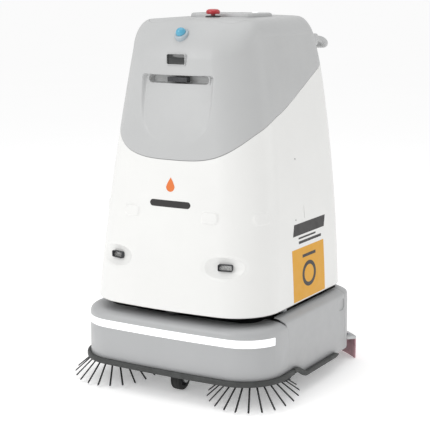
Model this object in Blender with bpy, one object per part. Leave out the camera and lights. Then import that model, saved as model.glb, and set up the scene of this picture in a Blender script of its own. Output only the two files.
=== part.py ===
"""Compact robotic floor scrubber: a tapered body on a wide chassis with two side brushes.

Metres, +Z up, the machine drives towards -Y, and the origin is on the floor under the middle of
its bounding box. Every piece is drawn in station coordinates, whose Y is counted backwards from
the two side-brush axes, and is then parented to an empty that carries the stations to the world.
"""

import math

import bmesh
import bpy
from mathutils import Matrix, Vector

# ---- driving dimensions ------------------------------------------------------------------
BRUSH_LINE_Y = -0.2292     # world Y of station zero, the side-brush axes
GAP = 0.0003               # clearance between pieces that touch
SEAM = 0.0012              # open joint between neighbouring covers
WALL = 0.004               # moulded shells

BODY_BASE = 0.230          # lower edge of the body shell
BODY_REAR = 0.452
BODY_FRONT_RADIUS = 0.1246
BODY_REAR_RADIUS = 0.085
BODY_CROWN = 0.0075        # how far the middle of the front bows forward
CREST_SIDE = (0.915, 0.035, 1.0)     # rounding into the top: start height, inset, fullness
CREST_FRONT = (0.862, 0.0796, 0.665)
CREST_REAR = (0.872, 0.0740, 0.578)
TOP_Z = 0.9600             # top surface at station 0.1

CHASSIS_HALF = 0.283
CHASSIS_FRONT = -0.1005
CHASSIS_REAR = 0.470
CHASSIS_FRONT_RADIUS = 0.108
CHASSIS_REAR_RADIUS = 0.075
CHASSIS_CROWN = 0.005
COVER_BOTTOM = 0.070
SIDE_BOTTOM = 0.045
FRONT_PROFILE = ((COVER_BOTTOM, 0.0), (0.188, 0.0), (0.1975, 0.004), (0.2050, 0.016),
                 (0.2085, 0.060))            # height and inset, up the front cover
SIDE_PROFILE = ((SIDE_BOTTOM, 0.0), (0.2000, 0.0015), (0.2060, 0.005), (0.2150, 0.024),
                (0.2160, 0.036))             # the same for the side and rear covers
FRONT_SEAM = 0.0485        # joint between the front cover and the side covers
SEAM_LINE = ((0.040, FRONT_SEAM), (0.155, FRONT_SEAM), (0.180, 0.0440), (0.205, 0.0360),
             (0.240, 0.0345))                # height and station of that joint
REAR_SEAM = 0.392          # joint between the side covers and the rear cover
LIGHT_LOW = 0.1603         # light band round the front
LIGHT_HIGH = 0.1807
LIGHT_END = -0.018
STRIP_HALF = 0.0072        # half the height of the side bumper strips
FRAME_Z = 0.108            # underside of the chassis plate
FRAME_THICK = 0.004
DECK_Z = 0.1995            # underside of the plate that carries the body

BRUSH_X = 0.2076
BRUSH_TIP_RADIUS = 0.1188
BRUSH_TIP_Z = 0.0165
BRUSH_TILT = math.radians(7.0)
TUFTS = 22
TUFT_HALF = 0.0026
FIRST_TUFT = math.radians(-165.3)

CASTER_SWIVEL = -0.042
CASTER_WHEEL = -0.017
CASTER_RADIUS = 0.031
DRIVE_STATION = 0.380
DRIVE_RADIUS = 0.0625
DRIVE_X = 0.220

ROLLER_STATIONS = (0.172, 0.264)
ROLLER_RADIUS = 0.0405
ROLLER_HALF = 0.220
HOUSING_HALF = 0.234
ROLLER_Z = 0.0420

SQUEEGEE_RADIUS = 0.4106
SQUEEGEE_CENTRE = 0.1644
SQUEEGEE_HALF = 0.287

LID_HALF = 0.145
LID_FRONT = 0.038
LATCH_STATIONS = (0.047, 0.055)
LID_REAR = 0.118
LID_CORNER = 0.045
LID_REAR_CORNER = 0.004
LID_THICK = 0.005
LID_REAR_GAP = 0.0034      # room for the rear edge to swing down
PIN_DEPTH = 0.0026         # hinge pins below the surface that they carry
PIN_RADIUS = 0.0014

DOOR_HALF = 0.150
DOOR_LOW = 0.360
DOOR_HIGH = 0.660
DOOR_SWING = 0.0012        # extra room in the opening for the door's hinge edge to turn

BEACON_LEAN = math.radians(40)
ESTOP_STATION = 0.152
CONSOLE_TOP = 0.9715
CONSOLE_HALF = 0.100
CONSOLE_STATIONS = (0.186, 0.312)
SCREEN_STATIONS = (0.205, 0.293)
HANDLE_RADIUS = 0.0115
RISER_STATION = 0.417
WINDOW_Z = 0.8597          # middle of the camera window
WINDOW_HALF = (0.0285, 0.0147)
FAR = 1.0                  # reach of cutting tools


# ---- materials ---------------------------------------------------------------------------
def material(name, colour, roughness, metallic=0.0):
    made = bpy.data.materials.new(name)
    made.use_nodes = True
    shader = made.node_tree.nodes["Principled BSDF"]
    shader.inputs["Base Color"].default_value = (*colour, 1.0)
    shader.inputs["Roughness"].default_value = roughness
    shader.inputs["Metallic"].default_value = metallic
    return made


# ---- mesh helpers ------------------------------------------------------------------------
def finish_mesh(bm, name, mat):
    """Turn a bmesh into an object with outward faces and its own copy of a material."""
    bmesh.ops.remove_doubles(bm, verts=bm.verts, dist=1e-6)
    bmesh.ops.recalc_face_normals(bm, faces=bm.faces)
    mesh = bpy.data.meshes.new(name)
    bm.to_mesh(mesh)
    bm.free()
    made = bpy.data.objects.new(name, mesh)
    bpy.context.scene.collection.objects.link(made)
    if mat:
        colour, roughness, metallic = mat
        mesh.materials.append(material(name + "_finish", colour, roughness, metallic))
    return made


def loft(name, rings, mat=None, caps=True, closed=False):
    """Skin a row of rings with equal point counts; closed joins the last ring to the first."""
    bm = bmesh.new()
    rows = [[bm.verts.new(p) for p in ring] for ring in rings]
    count = len(rows[0])
    pairs = list(zip(rows, rows[1:]))
    if closed:
        pairs.append((rows[-1], rows[0]))
    for low, high in pairs:
        for i in range(count):
            j = (i + 1) % count
            bm.faces.new((low[i], low[j], high[j], high[i]))
    if caps and not closed:
        bm.faces.new(rows[0][::-1])
        bm.faces.new(rows[-1])
    bmesh.ops.triangulate(bm, faces=bm.faces)
    return finish_mesh(bm, name, mat)


def box(name, low, high, mat=None, bevel=0.0):
    bm = bmesh.new()
    bmesh.ops.create_cube(bm, size=1.0)
    size = [b - a for a, b in zip(low, high)]
    middle = [(a + b) / 2 for a, b in zip(low, high)]
    bmesh.ops.scale(bm, vec=size, verts=bm.verts)
    bmesh.ops.translate(bm, vec=middle, verts=bm.verts)
    if bevel:
        bmesh.ops.bevel(bm, geom=bm.edges, offset=bevel, segments=2, profile=0.5, affect="EDGES")
    return finish_mesh(bm, name, mat)


def turned(name, profile, mat=None, segments=20, matrix=None):
    """Turn (radius, height) points about Z; radius 0 at an end closes the piece on its axis."""
    bm = bmesh.new()
    rows = []
    for radius, height in profile:
        if radius < 1e-6:
            rows.append([bm.verts.new((0, 0, height))])
            continue
        angles = [2 * math.pi * i / segments for i in range(segments)]
        rows.append([bm.verts.new((radius * math.cos(a), radius * math.sin(a), height))
                     for a in angles])
    pairs = list(zip(rows, rows[1:]))
    if profile[0][0] > 1e-6:
        pairs.append((rows[-1], rows[0]))
    for low, high in pairs:
        for i in range(segments):
            j = (i + 1) % segments
            face = [low[i % len(low)], low[j % len(low)], high[j % len(high)], high[i % len(high)]]
            face = list(dict.fromkeys(face))
            if len(face) > 2:
                bm.faces.new(face)
    if matrix:
        bmesh.ops.transform(bm, matrix=matrix, verts=bm.verts)
    return finish_mesh(bm, name, mat)


def rod(name, start, end, radius, mat=None, segments=16):
    """A plain round bar between two points."""
    start, end = Vector(start), Vector(end)
    along = end - start
    turn = along.to_track_quat("Z", "Y").to_matrix().to_4x4()
    profile = [(0, 0), (radius, 0), (radius, along.length), (0, along.length)]
    return turned(name, profile, mat, segments, Matrix.Translation(start) @ turn)


def prism(name, points, axis, low, high, mat=None):
    """Extrude a 2-D outline along one axis; the outline's two values are the other two axes."""
    def lift(point, value):
        spot = list(point)
        spot.insert("XYZ".index(axis), value)
        return spot
    return loft(name, [[lift(p, low) for p in points], [lift(p, high) for p in points]], mat)


def combine(target, tool, operation="DIFFERENCE"):
    """Apply one exact boolean and remove the tool."""
    modifier = target.modifiers.new("combine", "BOOLEAN")
    modifier.object = tool
    modifier.operation = operation
    modifier.solver = "EXACT"
    graph = bpy.context.evaluated_depsgraph_get()
    mesh = bpy.data.meshes.new_from_object(target.evaluated_get(graph))
    target.modifiers.clear()
    target.data = mesh
    bm = bmesh.new()
    bm.from_mesh(mesh)
    bmesh.ops.remove_doubles(bm, verts=bm.verts, dist=2e-6)
    bmesh.ops.dissolve_degenerate(bm, edges=bm.edges, dist=1e-6)
    bm.to_mesh(mesh)
    bm.free()
    bpy.data.objects.remove(tool)
    return target


def rounded_rectangle(half_x, low_y, high_y, radius, steps=4, rear_radius=None):
    """Plan outline of a rounded rectangle centred on X, counter-clockwise from above."""
    rear = radius if rear_radius is None else rear_radius
    corners = ((1, high_y - rear, rear, 0), (-1, high_y - rear, rear, 90),
               (-1, low_y + radius, radius, 180), (1, low_y + radius, radius, 270))
    points = []
    for side, y, r, start in corners:
        for i in range(steps + 1):
            angle = math.radians(start + 90 * i / steps)
            points.append((side * (half_x - r) + r * math.cos(angle), y + r * math.sin(angle)))
    return points


def set_origin(piece, point):
    """Move a piece's origin to a point in station coordinates and leave the piece in place."""
    piece.data.transform(Matrix.Translation(-Vector(point)))
    piece.location = point
    return piece


# ---- the body's skin ---------------------------------------------------------------------
def half_width(z):
    """Half the body's width at a height; front_line and rear_line give its two ends."""
    t = (z - BODY_BASE) / 0.687
    return 0.264 - 0.0257 * t - 0.0543 * t * t


def front_line(z):
    s = z - BODY_BASE
    return -0.098 + 0.141 * s - 0.052 * s * s


def rear_line(z):
    return BODY_REAR - 0.9 * max(0.0, z - 0.78) ** 2


def outline(half, front, rear, front_radius, rear_radius, crown):
    """Plan outline, counter-clockwise from above, from the middle of the front."""
    lean = 2 * crown / (half - front_radius)
    corner_x = half - front_radius
    start_x = corner_x + front_radius * math.sin(lean)
    corner_y = front + crown + front_radius * math.cos(lean)
    side = [(start_x * i / 3, front + crown * (i / 3) ** 2) for i in range(3)]
    for i in range(7):
        angle = -math.pi / 2 + lean + (math.pi / 2 - lean) * i / 6
        side.append((corner_x + front_radius * math.cos(angle),
                     corner_y + front_radius * math.sin(angle)))
    rear_corner = rear - rear_radius
    side += [(half, (rear_corner + corner_y) / 2)]
    for i in range(5):
        angle = math.pi / 2 * i / 4
        side.append((half - rear_radius + rear_radius * math.cos(angle),
                     rear_corner + rear_radius * math.sin(angle)))
    side += [(0.0, rear)]
    return side + [(-x, y) for x, y in side[-2:0:-1]]


def skin_outline(z, grow=0.0):
    return outline(half_width(z) + grow, front_line(z) - grow, rear_line(z) + grow,
                   BODY_FRONT_RADIUS + grow, BODY_REAR_RADIUS + grow, BODY_CROWN)


def top_surface(x, y):
    return TOP_Z + 0.02 * (y - 0.1) - 0.003 * (x / 0.15) ** 2


def ease(t):
    t = min(1.0, max(0.0, t))
    return t * t * (3 - 2 * t)


def colour_line(x, y):
    """Height of the joint between the white body and the grey head."""
    front = 0.6103 + 15.6 * abs(x) ** 3.4
    side = 0.6495 + 0.42 * (y + 0.05) + 0.0075 * math.exp(-((y - 0.075) / 0.05) ** 2)
    return front + (side - front) * ease((y - 0.010) / 0.035)


def level_ring(heights, grow=0.0):
    """A ring on the skin with its own height at every point."""
    return [(*skin_outline(z, grow)[i], z) for i, z in enumerate(heights)]


def joint_heights(offset=0.0):
    """Heights of the joint between body and head at each point of the outline."""
    heights = [0.7] * len(skin_outline(0.7))
    for _ in range(4):
        heights = [colour_line(x, y) + offset for x, y, _ in level_ring(heights)]
    return heights


def flat_ring(z, grow=0.0):
    """A level ring on the skin."""
    return [(x, y, z) for x, y in skin_outline(z, grow)]


def crest():
    """Start height, inset and fullness of the rounded top edge at each outline point."""
    values = []
    for _, y in skin_outline(CREST_SIDE[0]):
        front, rear = ease((0.090 - y) / 0.110), ease((y - 0.330) / 0.100)
        values.append(tuple(side + (ahead - side) * front + (behind - side) * rear
                            for side, ahead, behind in zip(CREST_SIDE, CREST_FRONT, CREST_REAR)))
    return values


def top_rings(grow=0.0, turns=(18, 36, 54, 72, 90), scales=(0.6, 0.05)):
    """The rounded top edge and the top surface, ending in a small ring round the middle."""
    edge = crest()
    heights = [z for z, _, _ in edge]
    base, shrunk = level_ring(heights, grow), level_ring(heights, grow - 0.01)
    rings = []
    for degrees in turns:
        turn = math.radians(degrees)
        ring = []
        for (x, y, z), (inner_x, inner_y, _), (_, inset, power) in zip(base, shrunk, edge):
            share = inset * (1 - math.cos(turn)) ** power / 0.01
            x, y = x + (inner_x - x) * share, y + (inner_y - y) * share
            ring.append((x, y, z + (top_surface(x, y) + grow - z) * math.sin(turn)))
        rings.append(ring)
    middle = 0.2
    last = rings[-1]
    for scale in scales:
        ring = []
        for x, y, _ in last:
            x, y = x * scale, middle + (y - middle) * scale
            ring.append((x, y, top_surface(x, y) + grow))
        rings.append(ring)
    return rings


def side_rings(start, count, grow=0.0):
    """Rings from the given heights up to where the top edge starts to round over."""
    heights = [z for z, _, _ in crest()]
    rings = []
    for i in range(count + 1):
        levels = [low + (high - low) * i / count for low, high in zip(start, heights)]
        rings.append(level_ring(levels, grow))
    return rings


def skin_solid(grow=0.0, low=0.30):
    """The full outer form as a solid, grown or shrunk, for trimming other pieces."""
    start = [low] * len(skin_outline(low))
    return loft("skin", side_rings(start, 6, grow) + top_rings(grow))


def trim_block(low, high, depth=None, grow=-0.001):
    """The outer form inside a box, down to a depth: local thickness behind an opening."""
    block = combine(skin_solid(grow), box("trim", low, high), "INTERSECT")
    if depth:
        combine(block, skin_solid(-depth))
    return block


# ---- outer finishes: colour, roughness, metallic -----------------------------------------
WHITE = ((0.86, 0.86, 0.84), 0.35, 0.0)
GREY = ((0.50, 0.51, 0.51), 0.40, 0.0)
COVER_GREY = ((0.42, 0.43, 0.43), 0.42, 0.0)
DARK = ((0.03, 0.03, 0.03), 0.50, 0.0)
RUBBER = ((0.06, 0.062, 0.06), 0.75, 0.0)
GLASS = ((0.02, 0.025, 0.03), 0.10, 0.0)
STEEL = ((0.60, 0.60, 0.62), 0.35, 1.0)
ZINC = ((0.55, 0.55, 0.53), 0.45, 1.0)
RED = ((0.55, 0.03, 0.04), 0.35, 0.0)
BLUE = ((0.05, 0.35, 0.65), 0.15, 0.0)
LIGHT = ((0.95, 0.95, 0.95), 0.30, 0.0)
BLADE = ((0.45, 0.20, 0.22), 0.45, 0.0)
TANK = ((0.75, 0.77, 0.78), 0.45, 0.0)
BRISTLE = ((0.02, 0.02, 0.02), 0.70, 0.0)
BLACK_CASE = ((0.05, 0.05, 0.055), 0.55, 0.0)


# ---- body and head -----------------------------------------------------------------------
def body_shell():
    """White lower casing, open above and below, with a turned-in lower edge."""
    joint = joint_heights(-SEAM / 2)
    base = BODY_BASE + 0.006
    outer = [flat_ring(BODY_BASE, -0.006), flat_ring(BODY_BASE + 0.0018, -0.0018)]
    inner = [flat_ring(BODY_BASE, -0.006 - WALL), flat_ring(base, -WALL)]
    for i in range(5):
        outer.append(level_ring([base + (z - base) * i / 4 for z in joint]))
    for i in range(1, 4):
        inner.append(level_ring([base + (z - base) * i / 3 for z in joint], -WALL))
    shell = loft("body_shell", outer + inner[::-1], WHITE, closed=True)
    rim = box("rim", (-DOOR_HALF - 0.014, BODY_REAR - 0.013, DOOR_LOW - 0.014),
              (DOOR_HALF + 0.014, BODY_REAR - 0.001, DOOR_HIGH + 0.014))
    combine(shell, rim, "UNION")
    combine(shell, box("opening", (-DOOR_HALF - DOOR_SWING, BODY_REAR - 0.03, DOOR_LOW),
                       (DOOR_HALF, BODY_REAR + 0.03, DOOR_HIGH)))
    for z in (DOOR_LOW, DOOR_HIGH):
        spot = door_axis()
        combine(shell, rod("pin_hole", (*spot, z - 0.007), (*spot, z + 0.007),
                           PIN_RADIUS + GAP, segments=12))
    return shell


def door_axis():
    return (-DOOR_HALF + PIN_DEPTH + SEAM / 2, BODY_REAR - PIN_DEPTH)


def rear_door():
    """Service door in the flat rear of the body, on one long vertical pin."""
    edge = SEAM / 2
    door = box("rear_door", (-DOOR_HALF + edge, BODY_REAR - 0.0058, DOOR_LOW + edge),
               (DOOR_HALF - edge, BODY_REAR, DOOR_HIGH - edge), WHITE)
    spot = door_axis()
    combine(door, rod("bore", (*spot, DOOR_LOW - 0.01), (*spot, DOOR_HIGH + 0.01),
                      PIN_RADIUS + GAP, segments=12))
    rod("door_hinge_pin", (*spot, DOOR_LOW - 0.0065), (*spot, DOOR_HIGH + 0.0065), PIN_RADIUS,
        STEEL, 12)
    latch = turned("door_latch", [(0, 0), (0.011, 0), (0.011, 0.0025), (0.009, 0.004), (0, 0.004)],
                   DARK, 20)
    latch.data.transform(Matrix.Translation((DOOR_HALF - 0.025, BODY_REAR + GAP, 0.51))
                         @ Matrix.Rotation(-math.pi / 2, 4, "X"))
    for piece in (door, latch):
        set_origin(piece, (*spot, (DOOR_LOW + DOOR_HIGH) / 2))


def lid_plan(grow):
    return rounded_rectangle(LID_HALF + grow, LID_FRONT - grow, LID_REAR + grow, LID_CORNER, 4,
                             LID_REAR_CORNER)


def lid_axis():
    """Station and height of the lid's hinge line, just under the surface at its rear edge."""
    y = LID_REAR - SEAM / 2 - PIN_DEPTH
    return y, top_surface(LID_HALF, y) - PIN_DEPTH


def head_shell():
    """Grey upper casing with the lid opening, the recessed front panel and the sensor slot."""
    joint = joint_heights(SEAM / 2)
    inner = side_rings(joint, 2, -WALL) + top_rings(-WALL, (30, 60, 90), (0.05,))
    shell = loft("head_shell", inner[::-1] + side_rings(joint, 3) + top_rings(), GREY)
    blocks = (((-0.158, 0.025, 0.925), (0.158, 0.131, 1.0), 0.024),
              ((-0.040, -0.060, 0.836), (0.040, 0.000, 0.884), 0.014),
              ((-0.115, -0.080, 0.640), (0.115, 0.020, 0.795), 0.022),
              ((-0.115, -0.080, 0.794), (0.115, 0.020, 0.828), 0.041))
    for low, high, depth in blocks:
        combine(shell, trim_block(low, high, depth), "UNION")
    opening = rounded_rectangle(LID_HALF, LID_FRONT, LID_REAR + LID_REAR_GAP, LID_CORNER, 4,
                                LID_REAR_CORNER)
    combine(shell, prism("opening", opening, "Z", 0.90, 1.0))
    y, z = lid_axis()
    for side in (-1, 1):
        combine(shell, rod("pin_hole", (side * (LID_HALF - 0.01), y, z),
                           (side * (LID_HALF + 0.0065), y, z), PIN_RADIUS + GAP, segments=12))
    front = front_line(0.86)
    combine(shell, prism("window", window_plan(0.0), "Y", -0.08, front + 0.0075))
    combine(shell, scoop_cutter())
    combine(shell, slot_cutter())
    combine(shell, rod("estop_hole", (0, ESTOP_STATION, 0.94), (0, ESTOP_STATION, 1.0), 0.010))
    return shell


def window_plan(grow):
    half_x, half_z = WINDOW_HALF
    plan = rounded_rectangle(half_x + grow, -half_z - grow, half_z + grow, 0.005 + grow, 3)
    return [(x, z + WINDOW_Z) for x, z in plan]


def hull(name, points, mat=None):
    """The closed convex form round a handful of points."""
    bm = bmesh.new()
    for point in points:
        bm.verts.new(point)
    bmesh.ops.convex_hull(bm, input=bm.verts)
    return finish_mesh(bm, name, mat)


def scoop_cutter():
    """Shallow wedge below the sensor slot: deep at its top, fading out downwards."""
    rows = ((0.8205, 0.106, 0.016), (0.700, 0.083, 0.0045), (0.655, 0.070, -0.0008))
    points = []
    for z, half, depth in rows:
        for side in (-1, 1):
            points.append((side * (half - 0.004), front_line(z) + depth, z))
            points.append((side * half, front_line(z) - 0.03, z))
    return hull("scoop", points)


def slot_cutter():
    """Deep slot under the brow, which shades the forward camera."""
    front = front_line(0.81)
    points = []
    for side in (-1, 1):
        points += [(side * 0.0885, front - 0.03, z) for z in (0.7995, 0.8205)]
        points += [(side * 0.082, front + 0.034, z) for z in (0.8035, 0.8165)]
    return hull("slot", points)


def lid():
    """Flap over the filler, cut from the head's own top surface, on one long pin."""
    flap = prism("lid", lid_plan(-SEAM / 2), "Z", 0.90, 1.0, GREY)
    combine(flap, skin_solid(0.0), "INTERSECT")
    combine(flap, skin_solid(-LID_THICK))
    y, z = lid_axis()
    edge = LID_HALF - LID_REAR_CORNER
    bar = box("bar", (-edge, y - 0.0035, z - 0.0040), (edge, y + 0.0022, z + 0.0030))
    combine(flap, bar, "UNION")
    combine(flap, rod("bore", (-1, y, z), (1, y, z), PIN_RADIUS + GAP, segments=12))
    rod("lid_hinge_pin", (-LID_HALF - 0.006, y, z), (LID_HALF + 0.006, y, z), PIN_RADIUS,
        STEEL, 12)
    near, far = LATCH_STATIONS
    crown = top_surface(0.0, near)
    latch = prism("lid_latch", rounded_rectangle(0.012, near, far, 0.0038, 3), "Z",
                  crown - 0.0034, crown - 0.0002, DARK)
    pocket = prism("pocket", rounded_rectangle(0.0123, near - GAP, far + GAP, 0.0041, 3), "Z",
                   crown - 0.0037, TOP_Z + 0.01)
    combine(flap, pocket)
    for piece in (flap, latch):
        set_origin(piece, (0, y, z))


def front_sensors():
    """Window, slot camera and beacon on the head."""
    front = front_line(0.86)
    prism("camera_window", window_plan(-GAP), "Y", front + 0.0042, front + 0.0072, GLASS)
    slot_front = front_line(0.81)
    box("slot_camera", (-0.0285, slot_front + 0.008, 0.8045), (0.0285, slot_front + 0.028, 0.8155),
        DARK, 0.0008)
    beacon_at = Matrix.Translation((0, -0.0030, 0.9210)) @ Matrix.Rotation(BEACON_LEAN, 4, "X")
    base = turned("beacon_base", [(0, -0.016), (0.019, -0.016), (0.019, 0.0035), (0.0165, 0.0055),
                                  (0, 0.0055)], LIGHT, 20, beacon_at)
    combine(base, skin_solid(GAP))
    dome = [(0, 0.0058)] + [(0.013 * math.cos(a), 0.0058 + 0.013 * math.sin(a))
                            for a in [math.pi / 2 * i / 5 for i in range(5)]] + [(0, 0.0188)]
    turned("beacon_dome", dome, BLUE, 16, beacon_at)


def surface_frame(x, y, z, yaw, pitch):
    """A matrix whose Z points out of the skin and whose Y runs up it."""
    turn = Matrix.Rotation(yaw, 4, "Z") @ Matrix.Rotation(pitch, 4, "X")
    facing = Matrix.Rotation(math.pi / 2, 4, "X")
    return Matrix.Translation((x, y, z)) @ turn @ facing


def oval_rings(width, height, steps, matrix, segments=20):
    rings = []
    for scale, out in steps:
        ring = []
        for i in range(segments):
            angle = 2 * math.pi * i / segments
            spot = Vector((width * scale * math.cos(angle), height * scale * math.sin(angle), out))
            ring.append(matrix @ spot)
        rings.append(ring)
    return rings


def low_sensors(shell):
    """Oval dishes low on the front of the body, each with a dark window at its bottom."""
    for side, word in ((1, "left"), (-1, "right")):
        x, z = side * 0.159, 0.353
        low, high = sorted((side * 0.103, side * 0.215))
        block = trim_block((low, -0.10, 0.316), (high, 0.02, 0.390), 0.019)
        combine(shell, block, "UNION")
        yaw = side * math.radians(14)
        dish = surface_frame(x, front_line(z) + 0.009, z, yaw, math.radians(-6))
        steps = [(math.cos(a), 0.022 * math.sin(a) - 0.001)
                 for a in [math.radians(d) for d in (-80, -55, -30, 0, 60)]]
        combine(shell, loft("dish", oval_rings(0.046, 0.0245, steps, dish)))
        pocket = surface_frame(x + side * 0.004, front_line(z) + 0.012, z, yaw, 0)
        tool = prism("pocket", rounded_rectangle(0.0175, -0.007, 0.007, 0.002, 2), "Z",
                     -0.030, 0.030)
        tool.data.transform(pocket)
        combine(shell, tool)
        ring = rounded_rectangle(0.0175 - GAP, -0.007 + GAP, 0.007 - GAP, 0.0017, 2)
        window = prism("low_window_" + word, ring, "Z", -0.018, -0.0125, GLASS)
        window.data.transform(pocket)


def console_ring(z, inset):
    """Plan of the raised console at a height, drawn in by an inset."""
    low, high = CONSOLE_STATIONS
    plan = rounded_rectangle(CONSOLE_HALF - inset, low + inset, high - inset, 0.026 - inset, 4)
    return [(x, y, z) for x, y in plan]


def top_controls():
    """Emergency stop, display console and power button on the top."""
    y = ESTOP_STATION
    collar = turned("estop_collar", [(0.0066, 0.93), (0.020, 0.93), (0.020, 0.9665),
                                     (0.018, 0.9678), (0.0066, 0.9678)], DARK, 20,
                    Matrix.Translation((0, y, 0)))
    combine(collar, skin_solid(GAP))
    mushroom = [(0, 0.9560), (0.006, 0.9560), (0.006, 0.9722), (0.0175, 0.9722), (0.0185, 0.9745),
                (0.0175, 0.9785), (0.013, 0.9812), (0, 0.9822)]
    button = turned("estop_button", mushroom, RED, 20, Matrix.Translation((0, y, 0)))
    set_origin(button, (0, y, 0.9722))

    bezel = loft("console_bezel", [console_ring(0.930, 0.0), console_ring(0.9640, 0.0),
                                   console_ring(0.9690, 0.0015), console_ring(CONSOLE_TOP, 0.006)],
                 GREY)
    combine(bezel, skin_solid(GAP))
    screen = rounded_rectangle(0.068, *SCREEN_STATIONS, 0.004, 3)
    screen = [(x - 0.020, y) for x, y in screen]
    combine(bezel, prism("pocket", screen, "Z", CONSOLE_TOP - 0.0022, 1.0))
    glass = rounded_rectangle(0.068 - GAP, SCREEN_STATIONS[0] + GAP, SCREEN_STATIONS[1] - GAP,
                              0.0037, 3)
    prism("touch_display", [(x - 0.020, y) for x, y in glass], "Z", CONSOLE_TOP - 0.0019,
          CONSOLE_TOP - 0.0004, GLASS)
    spot = (0.072, sum(SCREEN_STATIONS) / 2)
    combine(bezel, rod("hole", (*spot, CONSOLE_TOP - 0.0048), (*spot, 1.0), 0.0085))
    button = turned("power_button", [(0, -0.0024), (0.0082, -0.0024), (0.0082, 0.0012),
                                     (0.0070, 0.0024), (0, 0.0024)], LIGHT, 16)
    button.data.transform(Matrix.Translation((*spot, CONSOLE_TOP)))
    set_origin(button, (*spot, CONSOLE_TOP))


def push_handle():
    """Rear U-handle: two arms that curve back and down into a cross grip."""
    path = [(0.150, 0.408, 0.8990), (0.152, 0.440, 0.9000), (0.156, 0.466, 0.8995),
            (0.161, 0.486, 0.8950), (0.158, 0.4965, 0.8860), (0.140, 0.4985, 0.8830),
            (0.110, 0.4990, 0.8830), (0.055, 0.4990, 0.8830)]
    path += [(0.0, 0.4990, 0.8830)] + [(-x, y, z) for x, y, z in path[::-1]]
    curve = bpy.data.curves.new("push_handle", "CURVE")
    curve.dimensions = "3D"
    curve.bevel_depth = HANDLE_RADIUS
    curve.bevel_resolution = 2
    curve.use_fill_caps = True
    curve.resolution_u = 2
    curve.render_resolution_u = 0
    spline = curve.splines.new("NURBS")
    spline.points.add(len(path) - 1)
    for point, spot in zip(spline.points, path):
        point.co = (*spot, 1.0)
    spline.order_u = 4
    spline.use_endpoint_u = True
    draft = bpy.data.objects.new("draft", curve)
    bpy.context.scene.collection.objects.link(draft)
    graph = bpy.context.evaluated_depsgraph_get()
    mesh = bpy.data.meshes.new_from_object(draft.evaluated_get(graph))
    bpy.data.objects.remove(draft)
    bm = bmesh.new()
    bm.from_mesh(mesh)
    handle = finish_mesh(bm, "push_handle", GREY)
    return combine(handle, skin_solid(GAP))


# ---- inside the body ---------------------------------------------------------------------
def internals():
    """Tanks, battery, pump, vacuum motor and control unit."""
    tank = box("solution_tank", (-0.160, -0.030, 0.2465), (0.160, 0.165, 0.560), TANK)
    combine(tank, box("neck", (-0.105, 0.045, 0.550), (0.105, 0.105, 0.930)), "UNION")
    combine(tank, box("inside", (-0.156, -0.026, 0.2505), (0.156, 0.161, 0.556)))
    combine(tank, box("inside", (-0.102, 0.048, 0.540), (0.102, 0.102, 0.940)))

    tank = box("recovery_tank", (-0.170, 0.185, 0.345), (0.170, 0.400, 0.615), TANK)
    combine(tank, box("inside", (-0.166, 0.189, 0.349), (0.166, 0.396, 0.611)))
    combine(tank, rod("port", (0.05, 0.255, 0.60), (0.05, 0.255, 0.63), 0.040))
    box("battery_pack", (-0.165, 0.185, 0.2465), (0.165, 0.400, 0.338), BLACK_CASE, 0.004)
    motor = [(0, 0.6155), (0.050, 0.6155), (0.062, 0.628), (0.062, 0.700), (0.045, 0.712),
             (0.045, 0.735), (0, 0.735)]
    turned("vacuum_motor", motor, BLACK_CASE, 20, Matrix.Translation((-0.095, 0.300, 0)))
    box("water_pump", (0.080, 0.300, 0.6155), (0.160, 0.385, 0.680), BLACK_CASE, 0.004)
    box("control_unit", (-0.130, 0.205, 0.765), (0.130, 0.390, 0.822), ZINC, 0.003)
    suction_hose()


def suction_hose():
    """Riser from the squeegee duct to the recovery tank, behind the battery and the tank."""
    bend, radius = 0.026, 0.0135
    centres = [(CHASSIS_REAR - WALL - 0.001, 0.1500, 0.0)]
    centres += [(RISER_STATION + bend * (1 - math.sin(a)), 0.150 + bend * (1 - math.cos(a)), a)
                for a in [math.radians(d) for d in (0, 30, 60, 90)]]
    centres += [(RISER_STATION, 0.560, math.pi / 2)]
    rings = []
    for y, z, lean in centres:
        rings.append([(radius * math.cos(t), y + radius * math.sin(t) * math.sin(lean),
                       z + radius * math.sin(t) * math.cos(lean))
                      for t in [2 * math.pi * i / 16 for i in range(16)]])
    loft("suction_riser", rings, RUBBER)


# ---- chassis -----------------------------------------------------------------------------
def chassis_outline(grow=0.0):
    return outline(CHASSIS_HALF + grow, CHASSIS_FRONT - grow, CHASSIS_REAR + grow,
                   CHASSIS_FRONT_RADIUS + grow, CHASSIS_REAR_RADIUS + grow, CHASSIS_CROWN)


def chassis_ring(z, grow):
    return [(x, y, z) for x, y in chassis_outline(grow)]


def inner_profile(profile, wall):
    """Offset a (height, inset) profile to its inner side by the wall thickness."""
    moved = []
    for i, (z, inset) in enumerate(profile):
        before = profile[max(i - 1, 0)]
        after = profile[min(i + 1, len(profile) - 1)]
        dz, di = after[0] - before[0], after[1] - before[1]
        length = math.hypot(dz, di)
        moved.append((z - wall * di / length, inset + wall * dz / length))
    return moved


def cover_ring(name, profile, mat):
    outer = [chassis_ring(z, -inset) for z, inset in profile]
    inner = [chassis_ring(z, -inset) for z, inset in inner_profile(profile, WALL)]
    return loft(name, outer + inner[::-1], mat, closed=True)


def strip_height(y):
    """Centre height of the side bumper strip, which dips behind the front cover."""
    t = min(1.0, max(0.0, (0.142 - y) / 0.062))
    return 0.0472 + 0.0243 * t * t * (3 - 2 * t)


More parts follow.
